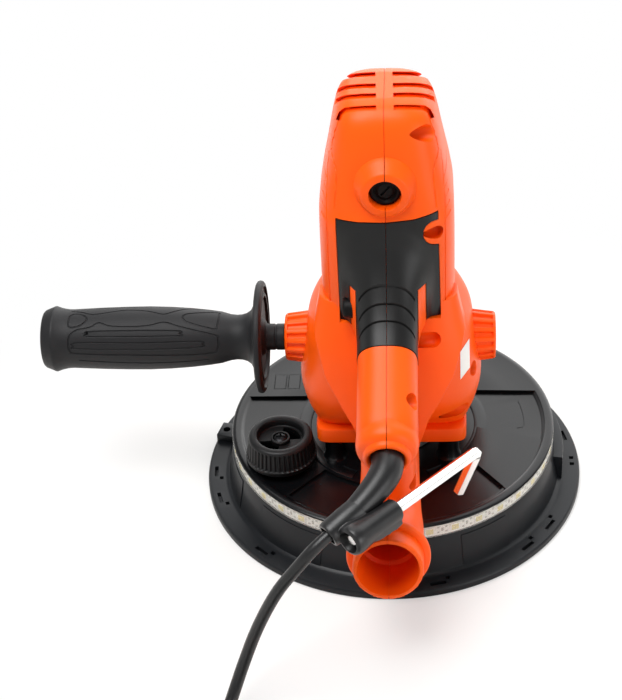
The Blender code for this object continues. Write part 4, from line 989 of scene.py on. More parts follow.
class SANDER_OT_grips(bpy.types.Operator):
    """Models the soft grip on each housing half"""
    bl_idname = "sander.grips"
    bl_label = "Soft grips"

    def execute(self, context):
        sizes = context.scene.sander_sizes
        form = bpy.data.objects["shell_form"]
        grip = carve(grip_region(sizes.grip_gap / MM), [swollen(form, "grip_skin", 0.3)], "INTERSECT")
        carve(grip, [swollen(form, "grip_core", -SKIN)])
        tools = []
        for y, z in GROOVES:
            outline = rectangle((y - GROOVE_HALF, z - 40.0), (y + GROOVE_HALF, z + 12.0))
            tools.append(prism("groove", outline, -14.8, 14.8, ACROSS))
        lines = carve(join(tools, "grooves"), [swollen(form, "groove_core", -GROOVE_DEEP)])
        carve(grip, [lines, seam_tool(form, sizes.seam_width / MM, GRIP_SEAM), button_hole()])
        grip.name = "grip_cover"
        for word, half in halves(grip, GRIP_PART):
            dress(half, SHELL_BODY, "soft_elastomer", ("grip_" + word,))
        bpy.data.objects.remove(form)
        return {"FINISHED"}


# Side handle

# Outer line of the side handle from its end cap to its guard disc: radius, distance from the middle
SIDE_GRIP = (
    (0.0, 199.0), (14.6, 199.0), (15.9, 198.7), (16.7, 197.9), (17.5, 196.0), (18.4, 193.7), (18.8, 192.8),
    (18.9, 192.2), (18.6, 191.4), (18.0, 189.8), (17.4, 187.4), (17.0, 184.9), (16.9, 182.6), (17.2, 176.0),
    (17.7, 165.0), (18.1, 150.0), (18.2, 138.0), (17.8, 126.0), (17.0, 114.0), (15.9, 104.0), (14.9, 97.0),
    (13.3, 91.6), (12.9, 88.0), (13.1, 85.2), (13.9, 82.4), (15.6, 80.0), (18.6, 78.4), (23.0, 77.5),
    (28.0, 76.8), (31.0, 76.4), (32.1, 75.6), (32.5, 74.4), (32.2, 73.1), (31.2, 72.3), (29.4, 72.0),
    (28.8, 73.4), (25.6, 73.6), (25.2, 72.2), (23.6, 72.2), (23.2, 73.6), (11.0, 73.6), (9.4, 71.6),
    (7.9, 71.2), (7.6, 70.4), (7.6, 66.4), (7.2, 66.0), (7.2, 65.4), (7.6, 65.0), (7.6, 61.0), (7.2, 60.6),
    (0.0, 60.6),
)
# Lines moulded into the grip: distance from the middle, angle around from the side that faces the camera
SIDE_RINGS = (
    ((183.0, 34), (182.4, 48), (180.0, 54), (175.3, 50), (172.4, 38), (175.8, 25), (180.8, 21), (182.8, 25)),
    ((117.9, 41), (115.5, 51), (99.4, 66), (97.6, 60), (98.2, 25), (100.0, 17), (113.8, 29), (116.8, 35)),
    ((171.1, 8), (168.6, 12), (122.1, 12), (119.3, 7), (121.6, 2), (169.2, 2)),
    ((177.5, 16), (181.6, 6), (182.6, -11), (181.6, -26), (177.5, -31), (142.1, -33), (103.3, -36),
     (98.0, -27), (97.6, -5), (99.6, 4), (118.8, 20), (125.5, 27), (129.9, 28), (136.5, 22), (147.6, 20),
     (158.7, 22), (165.3, 29), (169.7, 21)),
    ((179.7, -16), (177.5, -9), (143.2, -10), (108.9, -9), (106.4, -15), (108.3, -21), (143.2, -22),
     (177.5, -21)),
)
SIDE_LINES = (
    ((182.4, 66), (176.4, 60), (171.4, 52), (166.4, 51), (155.4, 59), (147.6, 61), (137.6, 56), (129.9, 48),
     (125.5, 52), (114.4, 74), (98.0, 86)),
    ((177.5, -47), (143.2, -52), (103.3, -53)),
    ((169.7, 76), (145.4, 79), (118.8, 84)),
)
# Angle of the side that faces the camera
SIDE_FACE = 36.4


def side_radius(distance):
    """The side handle's radius at a distance from the middle."""
    for (first, far), (second, near) in zip(SIDE_GRIP[1:], SIDE_GRIP[2:]):
        if near <= distance <= far and far > near:
            return second + (first - second) * (distance - near) / (far - near)
    raise RuntimeError("the side handle has no radius there")


def on_side_handle(distance, angle):
    """A place on the side handle's surface."""
    radius, turn = side_radius(distance), math.radians(angle + SIDE_FACE)
    return (-distance, -radius * math.cos(turn), SIDE_Z + radius * math.sin(turn))


class SANDER_OT_side_handle(bpy.types.Operator):
    """Models the side handle with its guard disc and the lines moulded into its grip"""
    bl_idname = "sander.side_handle"
    bl_label = "Side handle"

    def execute(self, context):
        grip = turned("side_handle", SIDE_GRIP, 144, pointing((0.0, 0.0, SIDE_Z), (-1.0, 0.0, 0.0)))
        tools = []
        for half_turn in (0.0, 180.0):
            for line in SIDE_RINGS:
                fine = through(line + line[:1], 5)[:-1]
                route = [on_side_handle(distance, angle + half_turn) for distance, angle in fine]
                tools.append(groove("moulded_ring", route, 0.55, True))
            for line in SIDE_LINES:
                fine = through(line, 5)
                route = [on_side_handle(distance, angle + half_turn) for distance, angle in fine]
                tools.append(groove("moulded_line", route, 0.5))
        tools.append(rod("stud_hole", (-50.0, 0.0, SIDE_Z), (-92.0, 0.0, SIDE_Z), 4.3, 24))
        carve(grip, tools)
        dress(grip, SHELL_BODY, "filled_nylon", ("side_handle_grip",), 35.0)
        return {"FINISHED"}


# Shroud

# Sections of the drum and of the skirt: radius, height
DRUM_PROFILE = (
    (10.5, 36.0), (88.2, 36.0), (88.9, 36.3), (89.8, 37.4), (90.5, 37.9), (91.4, 38.1), (92.8, 38.2),
    (94.2, 38.0), (95.1, 37.6), (95.5, 37.2), (95.6, 36.9), (95.4, 36.6), (93.4, 36.6), (93.4, 28.8),
    (92.9, 28.8), (92.9, 13.0), (91.4, 13.0), (91.4, 33.0), (10.5, 33.0),
)
SKIRT_PROFILE = (
    (93.3, 28.5), (94.6, 28.5), (95.1, 28.3), (95.4, 27.8), (97.1, 17.0), (98.9, 7.6), (99.5, 6.0),
    (100.8, 5.2), (102.4, 5.0), (110.6, 5.0), (111.7, 4.8), (112.3, 4.2), (RIM, 3.4), (RIM, 0.8),
    (112.2, 0.6), (110.8, 0.6), (110.8, 2.2), (97.0, 2.2), (93.3, 24.0),
)
# Posts under the housing
POSTS = ((-33.0, -29.0), (-33.0, 29.0), (33.0, -29.0), (33.0, 29.0))
# Flange openings: angles of the pairs of a slot and a notch, of the pin holes and of the screw tab
FLANGE_PAIRS = (13.0, -32.0, -44.0, -76.0, -134.0, -163.0, -176.0, 36.0, 62.0, 90.0, 118.0, 142.0)
FLANGE_PINS = (-1.5, 1.5)
TAB_ANGLE = 165.4


def about_axis(degrees, radius=0.0):
    """A place turned about the spindle's axis and moved out from it."""
    return Matrix.Rotation(math.radians(degrees), 4, "Z") @ Matrix.Translation((radius * MM, 0.0, 0.0))


def quadrant(inner, outer, start):
    """Outline of one of the suction openings around the knob's axis."""
    return [(KNOB_X + x, KNOB_Y + y) for x, y in sector(inner, outer, start, start + 80.0, 20)]


def field(name, radii, starts, ends, levels, edge=0.5, steps=60):
    """A raised or sunken part of a ring; radii, starts and ends are those of its inner and outer sides."""
    low, high = levels
    reach = radii[1] - radii[0]
    section = ((0.0, low), (0.0, high - edge), (0.3 * edge, high - 0.3 * edge), (edge, high),
               (reach / 2, high), (reach - edge, high), (reach - 0.3 * edge, high - 0.3 * edge),
               (reach, high - edge), (reach, low))
    rings = []
    for step in range(steps + 1):
        turns = [math.radians(start + (end - start) * step / steps) for start, end in zip(starts, ends)]
        near, far = (Vector((radius * math.cos(turn), radius * math.sin(turn), 0.0))
                     for radius, turn in zip(radii, turns))
        rings.append([near.lerp(far, out / reach) + Vector((0.0, 0.0, level)) for out, level in section])
    return skin(name, rings)


def drum_panels():
    """Raised fields of the drum's top."""
    return [field("front_field", (57.5, 92.0), (29.5, 17.2), (155.5, 165.0), (34.0, 38.0)),
            field("right_field", (50.0, 90.6), (-35.0, -43.6), (-6.6, -11.4), (34.0, 36.7)),
            field("inner_ring", (48.5, 56.0), (-66.0, -66.0), (246.0, 246.0), (34.0, 36.5), 0.25, 120)]


class SANDER_OT_shroud(bpy.types.Operator):
    """Models the shroud's drum, its skirt with the slotted flange, and the seal under it"""
    bl_idname = "sander.shroud"
    bl_label = "Shroud"

    def execute(self, context):
        drum = turned("drum", DRUM_PROFILE, 192)
        carve(drum, drum_panels(), "UNION")
        for x, y in POSTS:
            foot = ((0.0, 34.5), (8.4, 34.5), (7.0, 36.6), (6.3, 38.4), (6.0, 41.0), (6.0, 49.6), (0.0, 49.6))
            carve(drum, [turned("post", foot, 48, Matrix.Translation((x * MM, y * MM, 0.0)))], "UNION")
        tower = ((0.0, 34.5), (15.4, 34.5), (14.6, 36.8), (14.6, 48.4), (14.0, 49.0), (0.0, 49.0))
        carve(drum, [turned("tower", tower, 72, AT_KNOB)], "UNION")
        tools = [rod("tower_space", (KNOB_X, KNOB_Y, 30.0), (KNOB_X, KNOB_Y, 46.6), 12.6, 64),
                 rod("screw_hole", (KNOB_X, KNOB_Y, 40.0), (KNOB_X, KNOB_Y, 53.0), 2.5, 24),
                 block("duct_mouth", (-12.0, -82.0, 30.0), (12.0, -56.0, 42.0))]
        tools += [prism("opening", quadrant(4.4, 11.6, start), 44.0, 52.0) for start in KNOB_STARTS]
        for start, end in ((-78.0, -43.0), (-132.0, -102.0)):
            tools.append(field("pocket", (57.5, 87.0), (start, start), (end + 5.5, end), (34.2, 40.0)))
        tools += self.marks()
        carve(drum, tools)
        dress(drum, SHELL_BODY, "polished_black_abs", ("shroud_drum",), 32.0)
        self.skirt()
        seal = ((101.0, 1.9), (109.6, 1.9), (109.9, 1.0), (109.6, 0.0), (101.0, 0.0), (100.7, 1.0))
        dress(turned("seal", seal, 144), SHELL_BODY, "cell_foam", ("seal_ring",))
        return {"FINISHED"}

    def marks(self):
        """Plain frames and a turning arrow cut shallow into the drum's top."""
        tools = []
        for low, high in (((-73.0, 31.0), (-66.0, 45.0)), ((-64.6, 31.0), (-57.6, 45.0))):
            tools.append(groove("frame", [(x, y, 38.1) for x, y in rectangle(low, high)], 0.5, True))
        arrow = arc(78.0, 14.0, -4.0, 18) + [(73.8, -6.4)]
        tools.append(groove("arrow", [(x, y, 36.1) for x, y in arrow], 0.4))
        return tools

    def skirt(self):
        """The lower ring with its flange, wall step, slots and screw tab."""
        skirt = turned("skirt", SKIRT_PROFILE, 192)
        steps = [field("wall_step", (94.0, 102.0), (start, start), (end, end), (3.0, top), 0.6)
                 for start, end, top in ((-9.0, 40.0, 21.0), (128.0, 158.0, 17.0))]
        for start, end in ((-66.0, -48.0), (-140.0, -114.0), (176.0, 205.0), (70.0, 104.0)):
            lean = [(95.2, 25.6), (96.2, 25.6), (97.6, 17.0), (99.4, 7.4), (100.2, 4.0), (95.2, 4.0)]
            rings = [[(r * math.cos(a), r * math.sin(a), z) for r, z in lean]
                     for a in (math.radians(start + (end - start) * i / 20) for i in range(21))]
            steps.append(skin("wall_skin", rings))
        tab = bevel(block("tab", (96.8, -6.4, 3.0), (112.0, 6.4, 9.6), about_axis(TAB_ANGLE)), 0.5)
        carve(skirt, steps + [tab], "UNION")
        tools = [rod("tab_hole", (0.0, 0.0, 4.4), (0.0, 0.0, 14.0), 2.3, 24)]
        tools[0].data.transform(about_axis(TAB_ANGLE, 107.5))
        for turn in FLANGE_PAIRS:
            tools.append(block("slot", (-1.1, -4.6, 1.0), (1.1, 4.6, 8.0), about_axis(turn, 107.6)))
            tools.append(block("notch", (-1.1, -1.3, 1.0), (1.1, 1.3, 8.0), about_axis(turn + 3.4, 104.6)))
        for turn in FLANGE_PINS:
            tools.append(block("pin_hole", (-1.3, -1.3, 1.0), (1.3, 1.3, 8.0), about_axis(turn, 108.0)))
        carve(skirt, tools)
        dress(skirt, SHELL_BODY, "satin_polypropylene", ("shroud_skirt",), 32.0)


# Lamps, their windows and the solder pads: half length, inner side, outer side; half heights of the first two
LAMP_SIZE, WINDOW_SIZE, SOLDER_SIZE = (2.7, 0.0, 0.6), (2.1, 0.3, 0.68), (0.7, 0.0, 0.2)
LAMP_HALF, WINDOW_HALF = 2.5, 1.9
# Solder pads between two lamps: share of the way, distance from the middle, half height
LAMP_PADS = ((0.34, -1.8, 0.6), (0.34, 1.8, 0.6), (0.5, 0.0, 1.2), (0.66, -1.8, 0.6), (0.66, 1.8, 0.6))


def on_tape(name, size, middle, half, place):
    """A small block on the lamp tape, between two heights."""
    long, inner, outer = size
    return block(name, (inner, -long, middle - half), (outer, long, middle + half), place)


class SANDER_OT_light_strip(bpy.types.Operator):
    """Models the lamp tape around the drum: board, lamps with phosphor, solder pads and the clear cover"""
    bl_idname = "sander.light_strip"
    bl_label = "Light strip"

    def execute(self, context):
        count = context.scene.sander_sizes.lamp_count
        low, high, middle = LAMP_LOW, LAMP_HIGH, (LAMP_LOW + LAMP_HIGH) / 2
        inner = LAMP_RADIUS - 0.8
        board = turned("lamp_tape", rectangle((inner, low), (LAMP_RADIUS, high)), 192)
        lamps, windows, pads = [], [], []
        for index in range(count):
            turn = 360.0 * index / count + LAMP_FIRST
            place = about_axis(turn, LAMP_RADIUS)
            lamps.append(on_tape("lamp", LAMP_SIZE, middle, LAMP_HALF, place))
            windows.append(on_tape("window", WINDOW_SIZE, middle, WINDOW_HALF, place))
            for share, across, half in LAMP_PADS:
                place = about_axis(turn + 360.0 / count * share, LAMP_RADIUS)
                pads.append(on_tape("pad", SOLDER_SIZE, middle + across, half, place))
        groups = (("lamps", lamps, "lamp_board"), ("lamp_windows", windows, "lamp_phosphor"),
                  ("lamp_pads", pads, "lamp_solder"))
        for name, pieces, material in groups:
            dress(bevel(join(pieces, name), 0.1), SHELL_BODY, material)
        dress(board, SHELL_BODY, "lamp_board", ("light_strip",))
        outer = LAMP_RADIUS + 1.1
        cover = ((outer - 0.3, high), (outer - 0.1, high), (outer, high - 0.2), (outer, low + 0.2),
                 (outer - 0.1, low), (outer - 0.3, low))
        dress(turned("lamp_cover", cover, 192), SHELL_BODY, "clear_silicone")
        return {"FINISHED"}


# Section of the suction knob: radius, height
KNOB_PROFILE = (
    (2.5, 51.0), (12.7, 51.0), (13.1, 51.4), (13.3, 54.7), (13.7, 55.4), (14.4, 55.7), (16.6, 55.7),
    (17.5, 55.4), (18.1, 54.8), (18.4, 53.9), (18.7, 52.8), (19.6, 44.6), (20.0, 43.2), (20.4, 42.8),
    (20.5, 40.8), (20.2, 40.2), (16.0, 40.2), (16.0, 49.6), (2.5, 49.6),
)
# Depth of the knob's ribs, the radius that they stand outside of and the heights that they stand between
KNOB_RIB_DEEP, KNOB_RIB_INNER, KNOB_RIB_BOTTOM, KNOB_RIB_TOP = 1.1, 18.3, 43.0, 53.4


class SANDER_OT_knob(bpy.types.Operator):
    """Models the ribbed suction knob and its cross-recessed screw"""
    bl_idname = "sander.knob"
    bl_label = "Suction knob"

    def execute(self, context):
        ribs = context.scene.sander_sizes.knob_ribs
        rings = []
        for radius, height in KNOB_PROFILE + KNOB_PROFILE[:1]:
            ribbed = radius > KNOB_RIB_INNER and KNOB_RIB_BOTTOM < height < KNOB_RIB_TOP
            ring = fluted(radius, KNOB_RIB_DEEP if ribbed else 0.0, ribs, -2.2, ribs * 8)
            rings.append([(KNOB_X + x, KNOB_Y + y, height) for x, y in ring])
        knob = skin("suction_dial_knob", rings)
        carve(knob, [prism("opening", quadrant(4.6, 11.8, start), 46.0, 57.0) for start in KNOB_STARTS])
        well = ((4.4, 50.4), (5.6, 50.4), (5.6, 53.0), (5.2, 53.4), (4.4, 53.4))
        carve(knob, [turned("screw_well", well, 48, AT_KNOB)], "UNION")
        dress(knob, KNOB_BODY, "knob_acetal", ("suction_knob",), 32.0)
        top = 54.0
        head = ((0.0, top), (2.0, 53.9), (3.2, 53.5), (4.0, 52.7), (4.0, 51.3), (2.1, 51.3), (2.1, 41.0),
                (0.0, 41.0))
        screw = turned("knob_centre_screw", head, 40, AT_KNOB)
        carve(screw, cross_recess(AT_KNOB @ Matrix.Translation((0.0, 0.0, top * MM)), 2.6, 0.55, 1.6))
        dress(screw, SHELL_BODY, "black_steel", ("knob_screw",), 32.0)
        return {"FINISHED"}


# Pad

def pad_holes(low, high):
    """Tools for the dust holes through the pad."""
    holes = []
    for index in range(PAD_HOLES):
        angle = 2 * math.pi * (index + 0.5) / PAD_HOLES
        x, y = PAD_HOLE_RING * math.cos(angle), PAD_HOLE_RING * math.sin(angle)
        holes.append(rod("dust_hole", (x, y, low), (x, y, high), PAD_HOLE, 40))
    return holes


class SANDER_OT_pad(bpy.types.Operator):
    """Models the sanding disc, the foam pad, its backing plate and the bolt"""
    bl_idname = "sander.pad"
    bl_label = "Sanding pad"

    def execute(self, context):
        disc = turned("abrasive_disc", ((0.0, 0.0), (89.9, 0.0), (90.0, 0.5), (89.9, 1.0), (0.0, 1.0)), 144)
        carve(disc, pad_holes(-2.0, 4.0))
        dress(disc, PAD_BODY, "coated_grit", ("sanding_disc",))
        foam = ((10.0, 1.3), (88.4, 1.3), (89.5, 1.8), (90.0, 3.2), (89.7, 4.8), (89.1, 6.4), (88.2, 7.6),
                (87.0, 8.0), (10.0, 8.0))
        foam = turned("foam_cushion", foam, 144)
        carve(foam, pad_holes(-2.0, 12.0))
        dress(foam, PAD_BODY, "cell_foam", ("foam_pad",))
        plate = ((4.4, 8.3), (85.4, 8.3), (86.0, 8.9), (86.0, 11.2), (85.2, 12.0), (24.0, 12.0), (20.6, 13.0),
                 (19.0, 15.4), (18.0, 16.0), (4.4, 16.0))
        plate = turned("backing_disc", plate, 144)
        spokes = [block("spoke", (20.0, -1.5, 10.0), (80.0, 1.5, 13.6), about_axis(60.0 * index))
                  for index in range(PAD_HOLES)]
        carve(plate, [bevel(spoke, 0.4) for spoke in spokes], "UNION")
        carve(plate, pad_holes(4.0, 16.0))
        dress(plate, PAD_BODY, "filled_nylon", ("backing_plate",))
        bolt = ((0.0, 30.0), (3.4, 30.0), (3.9, 29.4), (3.9, 8.0), (7.5, 8.0), (7.5, 3.2), (6.9, 2.6),
                (0.0, 2.6))
        bolt = turned("pad_screw", bolt, 64)
        carve(bolt, [prism("socket", circle(3.4, 6), 1.0, 6.4)])
        dress(bolt, PAD_BODY, "plated_steel", ("pad_bolt",))
        return {"FINISHED"}


# Cord, sleeve, holder and key

def around_coil(radius, angle, height):
    """A place around the coil's upright axis."""
    return Vector((COIL_X + radius * math.cos(angle), COIL_Y + radius * math.sin(angle), height))


def coil_points():
    """Loops that spiral in and out and climb a layer at each turn back."""
    points, span = [], COIL_TURNS * 2 * math.pi
    total, reach = COIL_LAYERS * span, COIL_PITCH * COIL_TURNS / 2
    count = round(COIL_LAYERS * COIL_TURNS * COIL_POINTS)
    for index in range(count + 1):
        along = total * index / count
        layer = along / span
        part = layer % 2.0
        radius = COIL_RADIUS + reach - (part if part <= 1.0 else 2.0 - part) * 2 * reach
        near = round(layer)
        bend = along - near * span
        height = max(0, min(COIL_LAYERS - 1, math.floor(layer))) * COIL_RISE
        if 0 < near < COIL_LAYERS and abs(bend) < math.pi / 2:
            rise = (bend + math.pi / 2) / math.pi
            height = (near - 1 + rise * rise * (3 - 2 * rise)) * COIL_RISE
        angle = COIL_START + along * (1.0 - COIL_SHORT / total)
        points.append(around_coil(radius, angle, COIL_LOW + height))
    return points


def cord_points():
    """The whole cord from the sleeve over the floor, through the coil and to the plug."""
    route = list(CORD_ROUTE)
    for step in range(1, LEAD_STEPS + 1):
        radius = COIL_OUTER + LEAD_OUT * (LEAD_STEPS - step) / LEAD_STEPS
        height = CORD_ROUTE[-1][2] + LEAD_RISE * step / LEAD_STEPS
        route.append(tuple(around_coil(radius, math.radians(180.0 + 90.0 * step / LEAD_STEPS), height)))
    return spaced(route, CORD_STEP) + coil_points()[1:] + spaced(TAIL_ROUTE, CORD_STEP)[1:]


class SANDER_OT_cord(bpy.types.Operator):
    """Models the mains cord, the tie around its coil and the plug"""
    bl_idname = "sander.cord"
    bl_label = "Mains cord"

    def execute(self, context):
        plug, tie = self.plug(), self.tie()
        points = cord_points()
        diameter = context.scene.sander_sizes.cord_diameter
        cord = tube("power_cord", points, diameter / 2 / MM, 5)
        cord.data.splines[0].use_smooth = True
        cord.data.materials.append(finish("cord_pvc"))
        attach(cord, SHELL_BODY)
        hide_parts("mains_cord", "cord_coil", "cord_tail")
        return {"FINISHED"}

    def plug(self):
        """A plain two-pin plug with a ribbed bend guard."""
        profile = [(0.0, 62.0), (8.6, 62.0), (10.8, 60.8), (11.6, 58.6), (11.6, 42.0), (10.9, 38.4),
                   (8.6, 32.0), (7.4, 28.6)]
        for ring in range(6):
            wide, back = 6.6 - 0.25 * ring, 4.2 * ring
            profile += [(wide, 26.6 - back), (wide, 24.6 - back), (4.6, 24.2 - back), (4.6, 23.0 - back)]
        profile += [(4.6, 0.0), (0.0, 0.0)]
        plug = turned("power_plug", profile, 64, pointing(PLUG_START, (1.0, 0.0, 0.0)))
        for across in (-7.6, 7.6):
            pin = PLUG_START + Vector((58.0, across, 0.0))
            shape = ((0.0, 0.0), (2.2, 0.0), (2.2, 21.6), (1.4, 23.0), (0.0, 23.0))
            carve(plug, [turned("pin", shape, 24, pointing(pin, (1.0, 0.0, 0.0)))], "UNION")
        return dress(plug, SHELL_BODY, "filled_nylon", ("mains_plug",))

    def tie(self):
        """A flat band around one side of the coil."""
        middle, half_x, half_z = (35.9, 15.45), 12.1, 14.55
        band = ((-0.6, -5.4), (0.0, -6.0), (0.6, -5.4), (0.6, 5.4), (0.0, 6.0), (-0.6, 5.4), (-0.6, -5.4))
        rings = []
        for depth, wide in band:
            shape = oval(half_x + depth, half_z + depth, 6.0, 96)
            rings.append([(COIL_X + middle[0] + x, COIL_Y + wide, middle[1] + z) for x, z in shape])
        tie = skin("coil_tie", rings)
        return dress(tie, SHELL_BODY, "soft_elastomer", ("cord_tie",), 60.0)


class SANDER_OT_key_set(bpy.types.Operator):
    """Models the strain relief, the key holder clipped on it and the hex key"""
    bl_idname = "sander.key_set"
    bl_label = "Strain relief, holder and key"

    def execute(self, context):
        sleeve = spaced(SLEEVE_ROUTE, 1.2)
        self.relief(sleeve)
        self.holder(sleeve[-1], (sleeve[-1] - sleeve[-6]).normalized())
        self.key()
        return {"FINISHED"}

    def relief(self, route):
        """The sleeve around the cord, narrower towards its end."""
        sections = []
        for index in range(len(route)):
            beyond = max(0.0, index / (len(route) - 1) - SLEEVE_EVEN)
            sections.append(circle(SLEEVE_RADIUS - SLEEVE_TAPER * beyond / (1.0 - SLEEVE_EVEN), 48))
        sleeve = sweep("bend_relief", route, sections)
        dress(bevel(sleeve, 0.5), SHELL_BODY, "cord_pvc", ("strain_relief",))

    def holder(self, end, ahead):
        """The key's pocket, the clip around the sleeve's end and the web between them."""
        pocket = ((0.0, -2.4), (6.4, -2.4), (7.6, -1.4), (8.0, 0.6), (8.0, 3.0), (7.6, 6.0), (7.1, 10.0),
                  (6.7, 16.0), (6.3, 30.0), (5.6, 31.0), (0.0, 31.0))
        clip = ((0.0, 0.0), (6.4, 0.0), (6.75, 4.0), (7.0, 9.0), (7.0, 19.8), (6.6, 21.2), (0.0, 21.2))
        parts = [turned("pocket", pocket, 64, pointing(KEY_A, KEY_LINE)),
                 turned("clip", clip, 64, pointing(end - ahead * 19.0, ahead))]
        web = []
        for share in (-0.56, -0.5, -0.25, 0.0, 0.35, 0.7, 1.0):
            start = (KEY_A + KEY_LINE * (3.0 - 6.0 * min(0.0, share))).lerp(end - ahead * 2.5, share)
            stop = (KEY_A + KEY_LINE * (29.0 + 10.0 * min(0.0, share))).lerp(end - ahead * 15.0, share)
            web.append((start, stop))
        across = (web[-1][0] - web[0][0]).cross(KEY_LINE).normalized()
        rings = [ring_about((a + b) / 2 + across * 2.4, (b - a).normalized(), across,
                            oval((b - a).length / 2, 2.1, 3.0, 32)) for a, b in web]
        parts.append(skin("web", rings))
        holder = remesh(join(parts, "holder"), 0.5, 2)
        well = ((0.0, -6.0), (6.4, -6.0), (5.6, -1.4), (3.8, 2.0), (0.0, 2.0))
        carve(holder, [rod("cord_way", end - ahead * 30.0, end + ahead * 8.0, 6.3, 48, 5.0),
                       rod("key_way", KEY_A - KEY_LINE * 8.0, KEY_A + KEY_LINE * 60.0, 3.9, 40),
                       turned("rear_well", well, 48, pointing(KEY_A, KEY_LINE))])
        dress(holder, SHELL_BODY, "cord_pvc", ("key_holder",))

    def key(self):
        """The hexagon bar with its bend and its leaning short arm."""
        down = Vector((0.0, 0.0, -1.0))
        down = down * math.cos(KEY_LEAN) + KEY_LINE.cross(down) * math.sin(KEY_LEAN)
        corner = KEY_B - KEY_LINE * KEY_BEND
        route = [KEY_A, KEY_A + KEY_LINE * 0.6] + [KEY_A.lerp(corner, share) for share in (0.3, 0.6)]
        for step in range(13):
            angle = math.pi / 2 * step / 12
            ahead, aside = KEY_BEND * math.sin(angle), KEY_BEND * (1 - math.cos(angle))
            route.append(corner + KEY_LINE * ahead + down * aside)
        tip = KEY_B + down * KEY_SHORT
        route += [tip - down * 8.0, tip - down * 0.6, tip]
        angles = [math.radians(60.0 * flat + spread) for flat in range(6) for spread in (-4.0, 4.0)]
        across, rings = KEY_LINE.cross(down), []
        for index, point in enumerate(route):
            size = KEY_RADIUS * (0.86 if index in (0, len(route) - 1) else 1.0)
            shape = [(size * math.cos(angle), size * math.sin(angle)) for angle in angles]
            rings.append(ring_about(point, across, across.cross(tangent(route, index)), shape))
        dress(skin("hexagon_key", rings), KEY_BODY, "drawn_steel", ("hex_key",), 20.0)


# Switch, fasteners and works

def cross_recess(place, long, wide, deep):
    """Tools for a cross recess in a screw head; the place's Z points out of the head."""
    tools = []
    for half_x, half_y in ((long, wide), (wide, long)):
        tools.append(block("cross", (-half_x, -half_y, -deep), (half_x, half_y, 6.0), place))
    return tools


class SANDER_OT_switch(bpy.types.Operator):
    """Models the trigger and the lock-on button"""
    bl_idname = "sander.switch"
    bl_label = "Trigger and lock button"

    def execute(self, context):
        outline = ((-12.8, -8.0), (12.8, -8.0), (13.0, 4.0), (11.5, 7.4), (6.0, 8.6), (-4.0, 7.6),
                   (-10.5, 8.8), (-13.0, 6.0))
        trigger = bevel(prism("trigger_piece", outline, -6.2, 6.2, trigger_place() @ ACROSS), 1.2, 4, 25.0)
        dress(trigger, TRIGGER_BODY, "filled_nylon", ("trigger",))
        profile = ((0.0, 23.6), (2.6, 23.6), (3.2, 23.9), (3.9, 24.0), (4.7, 23.6), (5.2, 22.8), (5.3, 21.8),
                   (5.3, 12.0), (0.0, 12.0))
        button = turned("lock_on_button", profile, 64, pointing((0.0, LOCK_Y, LOCK_Z), (-1.0, 0.0, 0.0)))
        dress(button, LOCK_BODY, "phenolic_resin", ("lock_button",))
        return {"FINISHED"}


class SANDER_OT_fasteners(bpy.types.Operator):
    """Models the housing screws, the brush caps and the threaded inserts"""
    bl_idname = "sander.fasteners"
    bl_label = "Screws, brush caps and inserts"

    def execute(self, context):
        for index, (rear, height, seat, _) in enumerate(SCREWS):
            node, top = "housing_screw_%d" % (index + 1), 2.9
            place = pointing((seat, rear, height), (1.0, 0.0, 0.0))
            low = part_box(node)[0][0] / MM - seat
            profile = ((0.0, top), (1.6, 2.8), (2.8, 2.4), (3.5, 1.7), (3.7, 0.9), (3.7, 0.3), (1.8, 0.3),
                       (1.8, low), (0.0, low))
            screw = turned("case_screw_%d" % (index + 1), profile, 32, place)
            carve(screw, cross_recess(place @ Matrix.Translation((0.0, 0.0, top * MM)), 2.2, 0.5, 1.5))
            dress(screw, SHELL_BODY, "black_steel", (node,))
        for side, word in ((-1, "rear"), (1, "front")):
            place = pointing((0.0, side * 31.4, BRUSH_Z), (0.0, side, 0.0))
            profile = ((0.0, 5.6), (3.6, 5.6), (3.9, 5.9), (4.3, 5.6), (5.4, 5.2), (5.8, 5.8), (6.4, 6.5),
                       (7.2, 6.6), (7.8, 6.3), (8.2, 5.6), (8.2, 0.0), (0.0, 0.0))
            cap = turned("brush_plug_" + word, profile, 72, place)
            turn = Matrix.Rotation(math.radians(50.0), 4, "Z")
            carve(cap, [block("slot", (-3.4, -0.6, 4.3), (3.4, 0.6, 12.0), place @ turn)])
            dress(cap, SHELL_BODY, "phenolic_resin", ("brush_cap_" + word,))
        for side, word in ((-1, "left"), (1, "right")):
            place = pointing((0.0, 0.0, SIDE_Z), (side, 0.0, 0.0))
            profile = [(4.4, 57.4), (4.9, 58.0), (6.0, 58.0), (6.5, 57.5)]
            profile += [(6.5 if step % 2 else 6.1, 56.0 - step) for step in range(9)]
            profile += [(6.5, 46.5), (6.0, 46.0), (4.9, 46.0), (4.4, 46.6)]
            insert = turned("thread_insert_" + word, profile, 48, place)
            dress(insert, SHELL_BODY, "turned_brass", ("handle_insert_" + word,))
        return {"FINISHED"}


